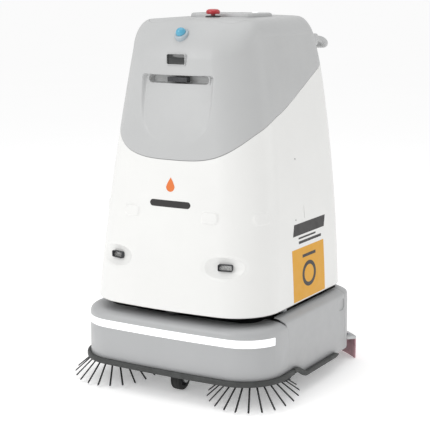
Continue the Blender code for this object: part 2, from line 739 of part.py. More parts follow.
def covers():
    """Front cover with its light groove, the two side covers and the rear cover."""
    front = cover_ring("front_cover", FRONT_PROFILE, COVER_GREY)
    behind = [(y - SEAM / 2, z) for z, y in SEAM_LINE] + [(FAR, 0.24), (FAR, 0.04)]
    combine(front, prism("behind", behind, "X", -FAR, FAR))
    groove = loft("groove", [chassis_ring(z, g) for z, g in
                             ((LIGHT_LOW - GAP, 0.01), (LIGHT_HIGH + GAP, 0.01),
                              (LIGHT_HIGH + GAP, -0.0020), (LIGHT_LOW - GAP, -0.0020))],
                  closed=True)
    combine(groove, box("end", (-FAR, LIGHT_END, 0), (FAR, FAR, 1)))
    combine(front, groove)

    for word, side in (("left", 1), ("right", -1)):
        cover = cover_ring("side_cover_" + word, SIDE_PROFILE, COVER_GREY)
        before = [(y + SEAM / 2, z) for z, y in SEAM_LINE] + [(-FAR, 0.24), (-FAR, 0.04)]
        combine(cover, prism("before", before, "X", -FAR, FAR))
        combine(cover, box("rear", (-FAR, REAR_SEAM - SEAM / 2, 0), (FAR, FAR, 1)))
        limits = sorted((-side * FAR, 0.0))
        combine(cover, box("other", (limits[0], -FAR, 0), (limits[1], FAR, 1)))
        stations = [0.03 + 0.115 * i / 14 for i in range(15)]
        low = [(y, strip_height(y) - 0.003) for y in stations] + [(0.145, 0.0), (0.03, 0.0)]
        combine(cover, prism("low", low, "X", -FAR, FAR))

    rear = cover_ring("rear_cover", SIDE_PROFILE, COVER_GREY)
    combine(rear, box("before", (-FAR, -FAR, 0), (FAR, REAR_SEAM + SEAM / 2, 1)))
    combine(rear, rod("duct_hole", (0, 0.40, 0.150), (0, 0.50, 0.150), 0.0205))


def strips():
    """Light band and the three rubber bumper strips."""
    light = loft("light_strip", [chassis_ring(z, g) for z, g in
                                 ((LIGHT_LOW, -0.0017), (LIGHT_LOW, 0.0006),
                                  (LIGHT_LOW + 0.0005, 0.0011), (LIGHT_HIGH - 0.0005, 0.0011),
                                  (LIGHT_HIGH, 0.0006), (LIGHT_HIGH, -0.0017))],
                 LIGHT, closed=True)
    combine(light, box("end", (-FAR, LIGHT_END - GAP, 0), (FAR, FAR, 1)))
    section = ((0.0004, 0.0620), (0.0080, 0.0620), (0.0100, 0.0640), (0.0100, 0.0750),
               (0.0080, 0.0770), (0.0004, 0.0770))
    front = loft("front_bumper_strip", [chassis_ring(z, g) for g, z in section], RUBBER,
                 closed=True)
    combine(front, box("end", (-FAR, 0.0665, 0), (FAR, FAR, 1)))
    stations = [0.0675 + (0.145 - 0.0675) * i / 12 for i in range(13)] + [0.324]
    tip = [(0.328 + STRIP_HALF * math.sin(a), strip_height(0.33) + STRIP_HALF * math.cos(a))
           for a in [math.radians(d) for d in (0, 36, 72, 108, 144, 180)]]
    upper = [(y, strip_height(y) + STRIP_HALF) for y in stations]
    lower = [(y, strip_height(y) - STRIP_HALF) for y in stations[::-1]]
    for word, side in (("left", 1), ("right", -1)):
        limits = sorted((side * (CHASSIS_HALF + 0.0004), side * (CHASSIS_HALF + 0.0110)))
        prism("side_bumper_strip_" + word, upper + tip + lower, "X", *limits, RUBBER)


def chassis_frame():
    """Steel plate that carries the wheels and the brushes, open over the scrub deck."""
    plan = [(x, y) for x, y in chassis_outline(-0.0055)]
    plate = prism("chassis_frame", plan, "Z", FRAME_Z, FRAME_Z + FRAME_THICK, ZINC)
    room = HOUSING_HALF + 0.006
    combine(plate, box("deck_hole", (-room, 0.116, 0), (room, 0.3205, 1)))
    for side in (-1, 1):
        limits = sorted((side * 0.190, side * 0.244))
        combine(plate, box("well", (limits[0], 0.310, 0), (limits[1], 0.4460, 1)))
        combine(plate, rod("motor_hole", (side * BRUSH_X, -0.012, 0), (side * BRUSH_X, -0.012, 1),
                           0.034))
    combine(plate, rod("stem_hole", (0, CASTER_SWIVEL, 0), (0, CASTER_SWIVEL, 1), 0.0085))


def body_base():
    """Deck plate, neck and floor that carry the body above the gap."""
    plan = [(x, y) for x, y in chassis_outline(-0.066) if y > -0.02]
    base = prism("body_base", plan, "Z", DECK_Z, DECK_Z + 0.004, ZINC)
    neck = rounded_rectangle(0.195, 0.030, 0.396, 0.060, 4)
    neck = prism("neck", neck, "Z", DECK_Z + 0.001, BODY_BASE + 0.012)
    combine(neck, prism("inside", rounded_rectangle(0.190, 0.035, 0.391, 0.055, 4), "Z", 0.1, 0.3))
    combine(base, neck, "UNION")
    floor = [(x, y) for x, y, _ in flat_ring(0.240, -WALL - 0.0006)]
    floor = prism("floor", floor, "Z", 0.2400, 0.2440)
    combine(base, floor, "UNION")
    for x, y, radius in ((0, RISER_STATION, 0.0165), (0, 0.215, 0.0450)):
        combine(base, rod("hole", (x, y, 0.1), (x, y, 0.3), radius))


def lidar():
    """Scanner that hangs under the body in the gap at the front."""
    turned("lidar", [(0, 0.2125), (0.0175, 0.2125), (0.0200, 0.2145), (0.0215, 0.2190),
                     (0.0320, 0.2245), (0.0335, 0.2270), (0.0335, 0.2397), (0, 0.2397)], DARK, 20,
           Matrix.Translation((0, -0.046, 0)))


def drain_plug():
    """Capped end of the tank drain, lying in the gap under the body's left edge."""
    rod("drain_plug", (0.236, 0.102, 0.2125), (0.236, 0.160, 0.2220), 0.0070, RUBBER, 16)


# ---- rolling and scrubbing gear ----------------------------------------------------------
def side_brush(side, word):
    """Hub, bristle ring and gear motor of one side brush, on its leaning axis."""
    at = Matrix.Translation((side * BRUSH_X, 0, BRUSH_TIP_Z)) @ Matrix.Rotation(BRUSH_TILT, 4, "X")
    step = 2 * math.pi / TUFTS
    half = 0.078
    corners = ((0.0220, 0.0660), (0.0366, 0.0659), (0.0405, 0.0705), (0.0220, 0.0706))
    bm = bmesh.new()
    stations = []
    for i in range(TUFTS):
        centre = FIRST_TUFT + i * step
        stations += [centre - half, centre + half]
    rows = [[bm.verts.new((r * math.cos(a), r * math.sin(a), z)) for r, z in corners]
            for a in stations]
    count = len(rows)
    for i in range(count):
        here, there = rows[i], rows[(i + 1) % count]
        for k in range(4):
            n = (k + 1) % 4
            if k == 1 and i % 2 == 0:
                tuft(bm, (here[k], there[k], there[n], here[n]), FIRST_TUFT + (i // 2) * step)
                continue
            bm.faces.new((here[k], there[k], there[n], here[n]))
    bmesh.ops.triangulate(bm, faces=bm.faces)
    bristles = finish_mesh(bm, "side_brush_bristles_" + word, BRISTLE)
    profile = [(0, 0.0560), (0.020, 0.0560), (0.0205, 0.0709), (0.0430, 0.0709), (0.0430, 0.0760),
               (0.0300, 0.0820), (0.0110, 0.0850), (0.0110, 0.0960), (0, 0.0960)]
    hub = turned("side_brush_hub_" + word, profile, BLACK_CASE, 20)
    for piece in (bristles, hub):
        piece.matrix_world = at
    motor = [(0, 0.0963), (0.020, 0.0963), (0.026, 0.100), (0.026, 0.150), (0.022, 0.166),
             (0, 0.166)]
    turned("side_brush_motor_" + word, motor, BLACK_CASE, 16, at)


def tuft(bm, root, angle):
    """Grow one bundle of bristles out of a face of the ring, down to the tip circle."""
    middle = Vector((BRUSH_TIP_RADIUS * math.cos(angle), BRUSH_TIP_RADIUS * math.sin(angle),
                     TUFT_HALF * 0.92))
    across = Vector((-math.sin(angle), math.cos(angle), 0)) * TUFT_HALF
    slope = math.radians(49.5)
    rise = Vector((math.cos(slope) * math.cos(angle), math.cos(slope) * math.sin(angle),
                   math.sin(slope))) * TUFT_HALF
    ring = [bm.verts.new(middle + across * a + rise * b)
            for a, b in ((-1, -1), (1, -1), (1, 1), (-1, 1))]
    for k in range(4):
        n = (k + 1) % 4
        bm.faces.new((root[k], root[n], ring[n], ring[k]))
    bm.faces.new(ring)


def caster():
    """Front swivel castor: fork, axle, wheel core and tyre."""
    y, z = CASTER_WHEEL, CASTER_RADIUS
    fork = box("caster_fork", (-0.0190, CASTER_SWIVEL - 0.018, 0.0660),
               (0.0190, CASTER_WHEEL + 0.018, 0.0710), ZINC)
    for side in (-1, 1):
        limits = sorted((side * 0.0158, side * 0.0189))
        cheek = ((y - 0.011, z - 0.004), (y - 0.004, z - 0.011), (y + 0.004, z - 0.011),
                 (y + 0.011, z - 0.004), (y + 0.017, 0.0680), (CASTER_SWIVEL - 0.010, 0.0680))
        combine(fork, prism("cheek", cheek, "X", *limits), "UNION")
    stem = turned("stem", [(0, 0.069), (0.0145, 0.069), (0.0145, 0.1070), (0.0080, 0.1075),
                           (0.0080, 0.124), (0, 0.124)], None, 16,
                  Matrix.Translation((0, CASTER_SWIVEL, 0)))
    combine(fork, stem, "UNION")
    combine(fork, rod("axle", (-0.0205, y, z), (0.0205, y, z), 0.0042, segments=16), "UNION")
    set_origin(fork, (0, CASTER_SWIVEL, 0.1075))
    wheel("caster_wheel", (0, y, z), 0.0130, 0.0215, CASTER_RADIUS, 0.0042 + 0.0003)


def wheel(name, spot, half, core_radius, radius, bore):
    """A wheel turned about X: bored hub, dished web and a chamfered tyre."""
    chamfer = (radius - core_radius) * 0.3
    profile = [(bore, half), (bore, -half), (core_radius * 0.55, -half),
               (core_radius * 0.6, -half * 0.7), (core_radius * 0.9, -half * 0.7),
               (core_radius, -half), (radius - chamfer, -half), (radius, -half + chamfer),
               (radius, half - chamfer), (radius - chamfer, half), (core_radius, half),
               (core_radius * 0.9, half * 0.7), (core_radius * 0.6, half * 0.7),
               (core_radius * 0.55, half)]
    made = turned(name, profile, RUBBER, 20, Matrix.Rotation(math.pi / 2, 4, "Y"))
    made.location = spot
    return made


def drive(side, word):
    """One drive wheel and its gear motor, inboard of the wheel."""
    spot = (side * DRIVE_X, DRIVE_STATION, DRIVE_RADIUS)
    wheel("drive_wheel_" + word, spot, 0.018, 0.045, DRIVE_RADIUS, 0.0085)
    start = side * (DRIVE_X - 0.0195)
    turned("drive_motor_" + word, [(0, 0.0365), (0.0080, 0.0365), (0.0080, 0), (0.030, 0),
                                   (0.030, -0.030), (0.026, -0.034), (0.026, -0.110),
                                   (0, -0.110)], BLACK_CASE, 16,
           Matrix.Translation((start, DRIVE_STATION, DRIVE_RADIUS))
           @ Matrix.Rotation(side * math.pi / 2, 4, "Y"))


def scrub_deck():
    """Lifting deck with two counter-rotating rollers, its motor and the lift actuator."""
    outer, inner = HOUSING_HALF, HOUSING_HALF - WALL
    housing = box("scrub_housing", (-outer, 0.124, 0.032), (outer, 0.312, 0.098), DARK)
    combine(housing, box("inside", (-inner, 0.128, 0.0), (inner, 0.308, 0.094)))
    motor = rod("motor", (-0.110, 0.218, 0.1210), (0.060, 0.218, 0.1210), 0.0250, segments=20)
    lift = rod("lift", (0.110, 0.218, 0.0960), (0.110, 0.218, 0.1500), 0.0062, segments=16)
    for piece in (motor, lift):
        combine(housing, piece, "UNION")
    set_origin(housing, (0, 0.218, 0.098))
    across = Matrix.Rotation(math.pi / 2, 4, "Y")
    for word, y in zip(("front", "rear"), ROLLER_STATIONS):
        end = inner - 0.0008
        profile = [(0, -end), (0.008, -end), (0.008, -ROLLER_HALF),
                   (ROLLER_RADIUS - 0.002, -ROLLER_HALF), (ROLLER_RADIUS, -ROLLER_HALF + 0.002),
                   (ROLLER_RADIUS, ROLLER_HALF - 0.002), (ROLLER_RADIUS - 0.002, ROLLER_HALF),
                   (0.008, ROLLER_HALF), (0.008, end), (0, end)]
        roller = turned("scrub_roller_" + word, profile, BLUE, 18, across)
        roller.location = (0, y, ROLLER_Z)
    tube = rod("lift_actuator", (0.110, 0.218, 0.1350), (0.110, 0.218, DECK_Z - GAP), 0.018, ZINC)
    combine(tube, rod("bore", (0.110, 0.218, 0.10), (0.110, 0.218, 0.190), 0.0070, segments=16))


def arc_bar(name, inner, outer, low, high, mat, half=SQUEEGEE_HALF):
    """A bar along the squeegee's arc between two radii and two heights."""
    reach = math.asin(half / SQUEEGEE_RADIUS)
    rings = []
    for i in range(17):
        angle = -reach + 2 * reach * i / 16
        rings.append([(r * math.sin(angle), SQUEEGEE_CENTRE + r * math.cos(angle), z)
                      for r, z in ((inner, low), (outer, low), (outer, high), (inner, high))])
    return loft(name, rings, mat)


def squeegee():
    """Curved squeegee on a lifting carriage, with its suction port and guides."""
    r = SQUEEGEE_RADIUS
    origin = (0, 0.515, 0.065)
    body = arc_bar("squeegee_body", r - 0.024, r + 0.0030, 0.0580, 0.0660, ZINC)
    carriage = box("carriage", (-0.105, 0.490, 0.0580), (0.105, 0.566, 0.0850))
    port = rod("port", (0, 0.515, 0.070), (0, 0.515, 0.1250), 0.0200)
    for piece in (carriage, port):
        combine(body, piece, "UNION")
    combine(body, rod("bore", (0, 0.515, 0), (0, 0.515, 0.2), 0.0165))
    for side in (-1, 1):
        combine(body, rod("bore", (side * 0.075, 0.505, 0), (side * 0.075, 0.505, 0.2), 0.0054,
                          segments=16))
    blade = arc_bar("squeegee_blade", r - 0.0010, r + 0.0030, 0.0015, 0.0577, BLADE)
    for piece in (body, blade):
        set_origin(piece, origin)
    guides = box("squeegee_guides", (-0.095, CHASSIS_REAR + GAP, 0.1860), (0.095, 0.520, 0.1930),
                 ZINC)
    for side in (-1, 1):
        combine(guides, rod("guide", (side * 0.075, 0.505, 0.0670), (side * 0.075, 0.505, 0.190),
                            0.0050, segments=16), "UNION")
    combine(guides, rod("gap", (0, 0.515, 0.1), (0, 0.515, 0.3), 0.0260))
    duct = rod("suction_duct", (0, 0.515, 0.1185), (0, 0.515, 0.1800), 0.0245, DARK)
    combine(duct, rod("branch", (0, CHASSIS_REAR - 0.0040, 0.1500), (0, 0.500, 0.1500), 0.0200),
            "UNION")
    combine(duct, rod("bore", (0, 0.515, 0.10), (0, 0.515, 0.1690), 0.0206))
    combine(duct, rod("bore", (0, 0.40, 0.1500), (0, 0.515, 0.1500), 0.0165))


def charge_port():
    """Docking contacts on the rear cover."""
    rear = CHASSIS_REAR
    block = box("charge_block", (-0.185, rear + GAP, 0.120), (-0.115, rear + 0.012, 0.160), DARK,
                0.0015)
    for x in (-0.166, -0.134):
        combine(block, box("contact", (x - 0.008, rear + 0.0100, 0.128),
                           (x + 0.008, rear + 0.0130, 0.152)), "UNION")


def main():
    for old in list(bpy.data.objects):
        bpy.data.objects.remove(old)
    shell = body_shell()
    low_sensors(shell)
    rear_door()
    head_shell()
    lid()
    front_sensors()
    top_controls()
    push_handle()
    internals()
    covers()
    strips()
    chassis_frame()
    body_base()
    lidar()
    drain_plug()
    for side, word in ((1, "left"), (-1, "right")):
        side_brush(side, word)
        drive(side, word)
    caster()
    scrub_deck()
    squeegee()
    charge_port()
    station_zero = bpy.data.objects.new("station_zero", None)
    bpy.context.scene.collection.objects.link(station_zero)
    station_zero.location = (0, BRUSH_LINE_Y, 0)
    for piece in bpy.data.objects:
        if piece.type == "MESH":
            piece.parent = station_zero
            piece.data.shade_smooth()
            piece.data.set_sharp_from_angle(angle=math.radians(35))


main()
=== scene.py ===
"""Looks of a robotic floor scrubber: moulded covers, lamps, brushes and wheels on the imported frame."""
import math

import bmesh
import bpy
from mathutils import Matrix, Vector


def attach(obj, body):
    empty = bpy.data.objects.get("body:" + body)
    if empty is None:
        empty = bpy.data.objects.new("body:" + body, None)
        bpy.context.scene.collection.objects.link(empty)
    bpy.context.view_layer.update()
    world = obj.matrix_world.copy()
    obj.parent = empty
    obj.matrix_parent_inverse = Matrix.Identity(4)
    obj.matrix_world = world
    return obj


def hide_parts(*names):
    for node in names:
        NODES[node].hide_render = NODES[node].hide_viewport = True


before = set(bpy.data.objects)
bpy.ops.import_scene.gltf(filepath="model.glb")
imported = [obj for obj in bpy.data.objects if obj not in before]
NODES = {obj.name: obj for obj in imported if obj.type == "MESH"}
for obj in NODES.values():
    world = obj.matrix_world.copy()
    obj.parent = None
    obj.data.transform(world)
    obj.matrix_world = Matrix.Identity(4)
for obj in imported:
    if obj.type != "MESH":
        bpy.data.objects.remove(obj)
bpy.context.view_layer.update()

# ---- stations: Y counted backwards from the side-brush axes --------------------------------
BRUSH_LINE_Y = -0.2292
ROOT = "machine"

BODY_BASE, BODY_REAR = 0.230, 0.452
BODY_FRONT_RADIUS, BODY_REAR_RADIUS, BODY_CROWN = 0.1246, 0.085, 0.0075
CREST_SIDE = (0.915, 0.035, 1.0)
CREST_FRONT = (0.862, 0.0796, 0.665)
CREST_REAR = (0.872, 0.0740, 0.578)
TOP_Z = 0.9600
WALL = 0.004
SEAM = 0.0012

CHASSIS_HALF, CHASSIS_FRONT, CHASSIS_REAR = 0.283, -0.1005, 0.470
CHASSIS_FRONT_RADIUS, CHASSIS_REAR_RADIUS, CHASSIS_CROWN = 0.108, 0.075, 0.005
FRONT_PROFILE = ((0.070, 0.0), (0.188, 0.0), (0.1975, 0.004), (0.2050, 0.016), (0.2085, 0.060))
SIDE_PROFILE = ((0.0450, 0.0), (0.2000, 0.0015), (0.2060, 0.005), (0.2150, 0.024), (0.2160, 0.036))
SEAM_LINE = ((0.040, 0.0485), (0.155, 0.0485), (0.180, 0.0440), (0.205, 0.0360), (0.240, 0.0345))
REAR_SEAM = 0.392
LIGHT_LOW, LIGHT_HIGH, LIGHT_END = 0.1603, 0.1807, -0.0183
FAR = 1.0

BRUSH_X, BRUSH_TIP_RADIUS, BRUSH_TIP_Z = 0.2076, 0.1188, 0.0165
BRUSH_TILT = math.radians(7.0)
TUFTS, FIRST_TUFT = 22, math.radians(-165.3)

LID_HALF, LID_FRONT, LID_REAR, LID_CORNER, LID_REAR_CORNER = 0.145, 0.038, 0.118, 0.045, 0.004
LID_THICK, LID_REAR_GAP = 0.005, 0.0034
ESTOP_STATION = 0.152
SIDE_SCREWS = ((0.169, 0.603), (0.202, 0.765), (0.1465, 0.448), (0.147, 0.428))
DOOR_HALF, DOOR_Z, DOOR_SWING = 0.150, 0.51, 0.0012
DUCT_STATION = 0.515
WINDOW_Z, SLOT_Z = 0.8597, 0.8100
DRIVE_X, DRIVE_STATION, DRIVE_RADIUS = 0.220, 0.380, 0.0625
ROLLER_Z = 0.042
BEACON_LEAN = math.radians(40)
SQUEEGEE_RADIUS, SQUEEGEE_CENTRE, SQUEEGEE_HALF = 0.4106, 0.1644, 0.287


# ---- materials ------------------------------------------------------------------------------
class Paint:
    """A small helper that wires procedural detail into one Principled material."""

    def __init__(self, name, colour, roughness, metallic=0.0):
        self.made = bpy.data.materials.new(name)
        self.made.use_nodes = True
        self.tree = self.made.node_tree
        self.shader = self.tree.nodes["Principled BSDF"]
        self.shader.inputs["Base Color"].default_value = (*colour, 1)
        self.shader.inputs["Roughness"].default_value = roughness
        self.shader.inputs["Metallic"].default_value = metallic
        self.colour = colour
        self.place = self.tree.nodes.new("ShaderNodeTexCoord").outputs["Object"]

    def node(self, kind, **values):
        made = self.tree.nodes.new(kind)
        for key, value in values.items():
            if key in made.inputs:
                made.inputs[key].default_value = value
            else:
                setattr(made, key, value)
        return made

    def link(self, start, end):
        self.tree.links.new(start, end)

    def noise(self, scale, detail=4.0, rough=0.55, stretch=None):
        made = self.node("ShaderNodeTexNoise", Scale=scale, Detail=detail, Roughness=rough)
        source = self.place
        if stretch:
            mapping = self.node("ShaderNodeMapping")
            mapping.inputs["Scale"].default_value = stretch
            self.link(source, mapping.inputs["Vector"])
            source = mapping.outputs["Vector"]
        self.link(source, made.inputs["Vector"])
        return made.outputs["Fac"]

    def ramp(self, source, stops):
        made = self.node("ShaderNodeValToRGB")
        while len(made.color_ramp.elements) < len(stops):
            made.color_ramp.elements.new(0.5)
        for element, (at, colour) in zip(made.color_ramp.elements, stops):
            element.position = at
            element.color = (*colour, 1)
        self.link(source, made.inputs["Fac"])
        return made.outputs["Color"]

    def tint(self, source, amount, low=0.3, high=0.7):
        """Vary the base colour by a share of itself."""
        dark = tuple(c * (1 - amount) for c in self.colour)
        light = tuple(min(1.0, c * (1 + amount)) for c in self.colour)
        self.link(self.ramp(source, ((low, dark), (high, light))), self.shader.inputs["Base Color"])

    def gloss(self, source, low, high):
        made = self.node("ShaderNodeMapRange")
        made.inputs["From Min"].default_value = 0.3
        made.inputs["From Max"].default_value = 0.7
        made.inputs["To Min"].default_value = low
        made.inputs["To Max"].default_value = high
        self.link(source, made.inputs["Value"])
        self.link(made.outputs["Result"], self.shader.inputs["Roughness"])

    def bump(self, source, strength, distance=0.0003):
        made = self.node("ShaderNodeBump", Strength=strength, Distance=distance)
        self.link(source, made.inputs["Height"])
        self.link(made.outputs["Normal"], self.shader.inputs["Normal"])


def moulded(name, colour, roughness=0.4, coat=0.0, tint=0.03, grain=900.0, strength=0.10):
    """Moulded or painted plastic: faint mottling, fine grain and uneven gloss."""
    paint = Paint(name, colour, roughness)
    paint.tint(paint.noise(9.0, 5), tint)
    paint.gloss(paint.noise(38.0, 6), roughness * 0.82, roughness * 1.18)
    paint.bump(paint.noise(grain, 3), strength)
    if coat:
        paint.shader.inputs["Coat Weight"].default_value = coat
        paint.shader.inputs["Coat Roughness"].default_value = 0.18
    return paint


def rubber(name, colour, roughness=0.7):
    paint = Paint(name, colour, roughness)
    paint.tint(paint.noise(60.0, 6), 0.22)
    paint.gloss(paint.noise(25.0, 5), roughness * 0.85, min(1.0, roughness * 1.15))
    paint.bump(paint.noise(1400.0, 4), 0.25, 0.0002)
    return paint


def metal(name, colour, roughness=0.4, stretch=(1.0, 1.0, 30.0)):
    paint = Paint(name, colour, roughness, 1.0)
    paint.tint(paint.noise(22.0, 6), 0.10)
    paint.gloss(paint.noise(160.0, 5, 0.6, stretch), roughness * 0.7, roughness * 1.3)
    paint.bump(paint.noise(500.0, 4, 0.6, stretch), 0.15, 0.0001)
    return paint


WHITE = moulded("white_casing", (0.76, 0.76, 0.745), 0.36, 0.25, 0.012)
GREY = moulded("grey_casing", (0.46, 0.465, 0.465), 0.42, 0.12, 0.02)
COVER = moulded("grey_cover", (0.40, 0.405, 0.41), 0.42, 0.12, 0.02)
DARK = moulded("dark_plastic", (0.022, 0.022, 0.023), 0.5, 0.0, 0.2, 1500.0, 0.3)
CASE = moulded("black_case", (0.035, 0.036, 0.04), 0.55, 0.0, 0.2, 1200.0, 0.3)
RUBBER = rubber("rubber", (0.040, 0.042, 0.041), 0.62)
TYRE = rubber("tyre_rubber", (0.022, 0.022, 0.022), 0.78)
BLADE = rubber("squeegee_rubber", (0.485, 0.262, 0.296), 0.42)
BLADE.shader.inputs["Subsurface Weight"].default_value = 0.25
BLADE.shader.inputs["Subsurface Radius"].default_value = (0.004, 0.002, 0.002)
BRISTLE = rubber("bristle", (0.016, 0.016, 0.018), 0.48)
ROLLER = rubber("roller_bristle", (0.035, 0.045, 0.055), 0.6)
GLASS = Paint("dark_glass", (0.012, 0.014, 0.014), 0.08)
GLASS.gloss(GLASS.noise(30.0, 4), 0.05, 0.16)
GLASS.shader.inputs["Coat Weight"].default_value = 0.6
ZINC = metal("zinc_steel", (0.52, 0.53, 0.53), 0.42, (1.0, 1.0, 6.0))
STEEL = metal("bright_steel", (0.62, 0.62, 0.64), 0.28, (1.0, 1.0, 20.0))
TANK = moulded("tank_plastic", (0.72, 0.75, 0.77), 0.48, 0.0, 0.03, 500.0, 0.2)
RED = moulded("signal_red", (0.46, 0.012, 0.022), 0.30, 0.5, 0.05)
LABEL = moulded("label_amber", (0.68, 0.33, 0.008), 0.45, 0.0, 0.03, 1500.0, 0.05)
INK = moulded("label_black", (0.014, 0.012, 0.012), 0.42, 0.0, 0.1, 1500.0, 0.05)
BADGE = moulded("badge_orange", (0.70, 0.17, 0.03), 0.42, 0.0, 0.04, 1500.0, 0.05)


def glowing(name, colour, light, strength):
    paint = moulded(name, colour, 0.28, 0.4, 0.03, 1200.0, 0.04)
    paint.shader.inputs["Emission Color"].default_value = (*light, 1)
    paint.shader.inputs["Emission Strength"].default_value = strength
    return paint


BAND = glowing("light_band", (0.92, 0.93, 0.94), (1.0, 1.0, 1.0), 0.30)
RING = moulded("beacon_ring", (0.36, 0.42, 0.46), 0.35, 0.3, 0.03)
BEACON = glowing("beacon_blue", (0.07, 0.29, 0.42), (0.05, 0.45, 0.70), 0.14)


# ---- mesh helpers ---------------------------------------------------------------------------
def publish(bm, name, paint, body=ROOT, replaces=(), sharp=35, bevel=0.0, segments=2):
    """Turn a bmesh in station coordinates into a piece that rides on a CAD body."""
    bmesh.ops.remove_doubles(bm, verts=bm.verts, dist=1e-6)
    bmesh.ops.recalc_face_normals(bm, faces=bm.faces)
    bmesh.ops.translate(bm, vec=(0, BRUSH_LINE_Y, 0), verts=bm.verts)
    mesh = bpy.data.meshes.new(name)
    bm.to_mesh(mesh)
    bm.free()
    made = bpy.data.objects.new(name, mesh)
    bpy.context.scene.collection.objects.link(made)
    mesh.materials.append(paint.made)
    if bevel:
        modifier = made.modifiers.new("edges", "BEVEL")
        modifier.width = bevel
        modifier.segments = segments
        modifier.limit_method = "ANGLE"
        modifier.angle_limit = math.radians(sharp)
        bake(made)
    made.data.shade_smooth()
    made.data.set_sharp_from_angle(angle=math.radians(sharp))
    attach(made, body)
    if replaces:
        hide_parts(*replaces)
    return made


def bake(piece):
    """Apply a piece's modifiers."""
    graph = bpy.context.evaluated_depsgraph_get()
    mesh = bpy.data.meshes.new_from_object(piece.evaluated_get(graph))
    piece.modifiers.clear()
    piece.data = mesh


def as_object(bm, name="tool"):
    bmesh.ops.recalc_face_normals(bm, faces=bm.faces)
    mesh = bpy.data.meshes.new(name)
    bm.to_mesh(mesh)
    bm.free()
    made = bpy.data.objects.new(name, mesh)
    bpy.context.scene.collection.objects.link(made)
    return made


def boolean(bm, tools, operation="DIFFERENCE"):
    """Cut or join one bmesh with others and hand back the result."""
    target = as_object(bm, "target")
    for tool in tools:
        tool = as_object(tool)
        modifier = target.modifiers.new("cut", "BOOLEAN")
        modifier.object = tool
        modifier.operation = operation
        modifier.solver = "EXACT"
        bake(target)
        bpy.data.objects.remove(tool)
    out = bmesh.new()
    out.from_mesh(target.data)
    bpy.data.objects.remove(target)
    return out


def loft(rings, caps=True, closed=False, bm=None):
    bm = bm or bmesh.new()
    rows = [[bm.verts.new(p) for p in ring] for ring in rings]
    count = len(rows[0])
    pairs = list(zip(rows, rows[1:]))
    if closed:
        pairs.append((rows[-1], rows[0]))
    for low, high in pairs:
        for i in range(count):
            j = (i + 1) % count
            bm.faces.new((low[i], low[j], high[j], high[i]))
    if caps and not closed:
        bm.faces.new(rows[0][::-1])
        bm.faces.new(rows[-1])
    return bm


def turned(profile, segments=48, matrix=None, bm=None):
    """Turn (radius, height) points about Z."""
    own = bmesh.new()
    rows = []
    for radius, height in profile:
        if radius < 1e-6:
            rows.append([own.verts.new((0, 0, height))])
            continue
        rows.append([own.verts.new((radius * math.cos(a), radius * math.sin(a), height))
                     for a in [2 * math.pi * i / segments for i in range(segments)]])
    pairs = list(zip(rows, rows[1:]))
    if profile[0][0] > 1e-6:
        pairs.append((rows[-1], rows[0]))
    for low, high in pairs:
        for i in range(segments):
            j = (i + 1) % segments
            face = list(dict.fromkeys([low[i % len(low)], low[j % len(low)],
                                       high[j % len(high)], high[i % len(high)]]))
            if len(face) > 2:
                own.faces.new(face)
    if matrix:
        bmesh.ops.transform(own, matrix=matrix, verts=own.verts)
    return own if bm is None else merge(bm, own)


def merge(bm, *others):
    """Add other bmeshes' geometry to the first."""
    for other in others:
        mesh = bpy.data.meshes.new("part")
        other.to_mesh(mesh)
        other.free()
        bm.from_mesh(mesh)
        bpy.data.meshes.remove(mesh)
    return bm


def aim(start, end):
    start, end = Vector(start), Vector(end)
    turn = (end - start).to_track_quat("Z", "Y").to_matrix().to_4x4()
    return Matrix.Translation(start) @ turn, (end - start).length


def rod(start, end, radius, segments=32, edge=0.0):
    place, length = aim(start, end)
    profile = [(0, 0), (radius - edge, 0), (radius, edge), (radius, length - edge),
               (radius - edge, length), (0, length)]
    return turned(profile if edge else [(0, 0), (radius, 0), (radius, length), (0, length)],
                  segments, place)


def box(low, high, bevel=0.0, segments=3):
    bm = bmesh.new()
    bmesh.ops.create_cube(bm, size=1.0)
    bmesh.ops.scale(bm, vec=[b - a for a, b in zip(low, high)], verts=bm.verts)
    bmesh.ops.translate(bm, vec=[(a + b) / 2 for a, b in zip(low, high)], verts=bm.verts)
    if bevel:
        bmesh.ops.bevel(bm, geom=bm.edges, offset=bevel, segments=segments, profile=0.5,
                        affect="EDGES")
    return bm


def rounded_rectangle(half_x, low_y, high_y, radius, steps=8, rear_radius=None):
    rear = radius if rear_radius is None else rear_radius
    corners = ((1, high_y - rear, rear, 0), (-1, high_y - rear, rear, 90),
               (-1, low_y + radius, radius, 180), (1, low_y + radius, radius, 270))
    points = []
    for side, y, r, start in corners:
        for i in range(steps + 1):
            angle = math.radians(start + 90 * i / steps)
            points.append((side * (half_x - r) + r * math.cos(angle), y + r * math.sin(angle)))
    return points


def prism(points, axis, low, high):
    def lift(point, value):
        spot = list(point)
        spot.insert("XYZ".index(axis), value)
        return spot
    return loft([[lift(p, low) for p in points], [lift(p, high) for p in points]])


def tube(path, radii, segments=20, caps=True):
    """A round tube along a smoothed path; radii is one number or one for each point."""
    points = [Vector(p) for p in path]
    if isinstance(radii, (int, float)):
        radii = [radii] * len(points)
    rings = []
    normal = None
    for i, point in enumerate(points):
        ahead = (points[min(i + 1, len(points) - 1)] - points[max(i - 1, 0)]).normalized()
        if normal is None:
            normal = ahead.orthogonal().normalized()
        normal = (normal - ahead * normal.dot(ahead)).normalized()
        other = ahead.cross(normal)
        rings.append([point + (normal * math.cos(a) + other * math.sin(a)) * radii[i]
                      for a in [2 * math.pi * k / segments for k in range(segments)]])
    return loft(rings, caps)


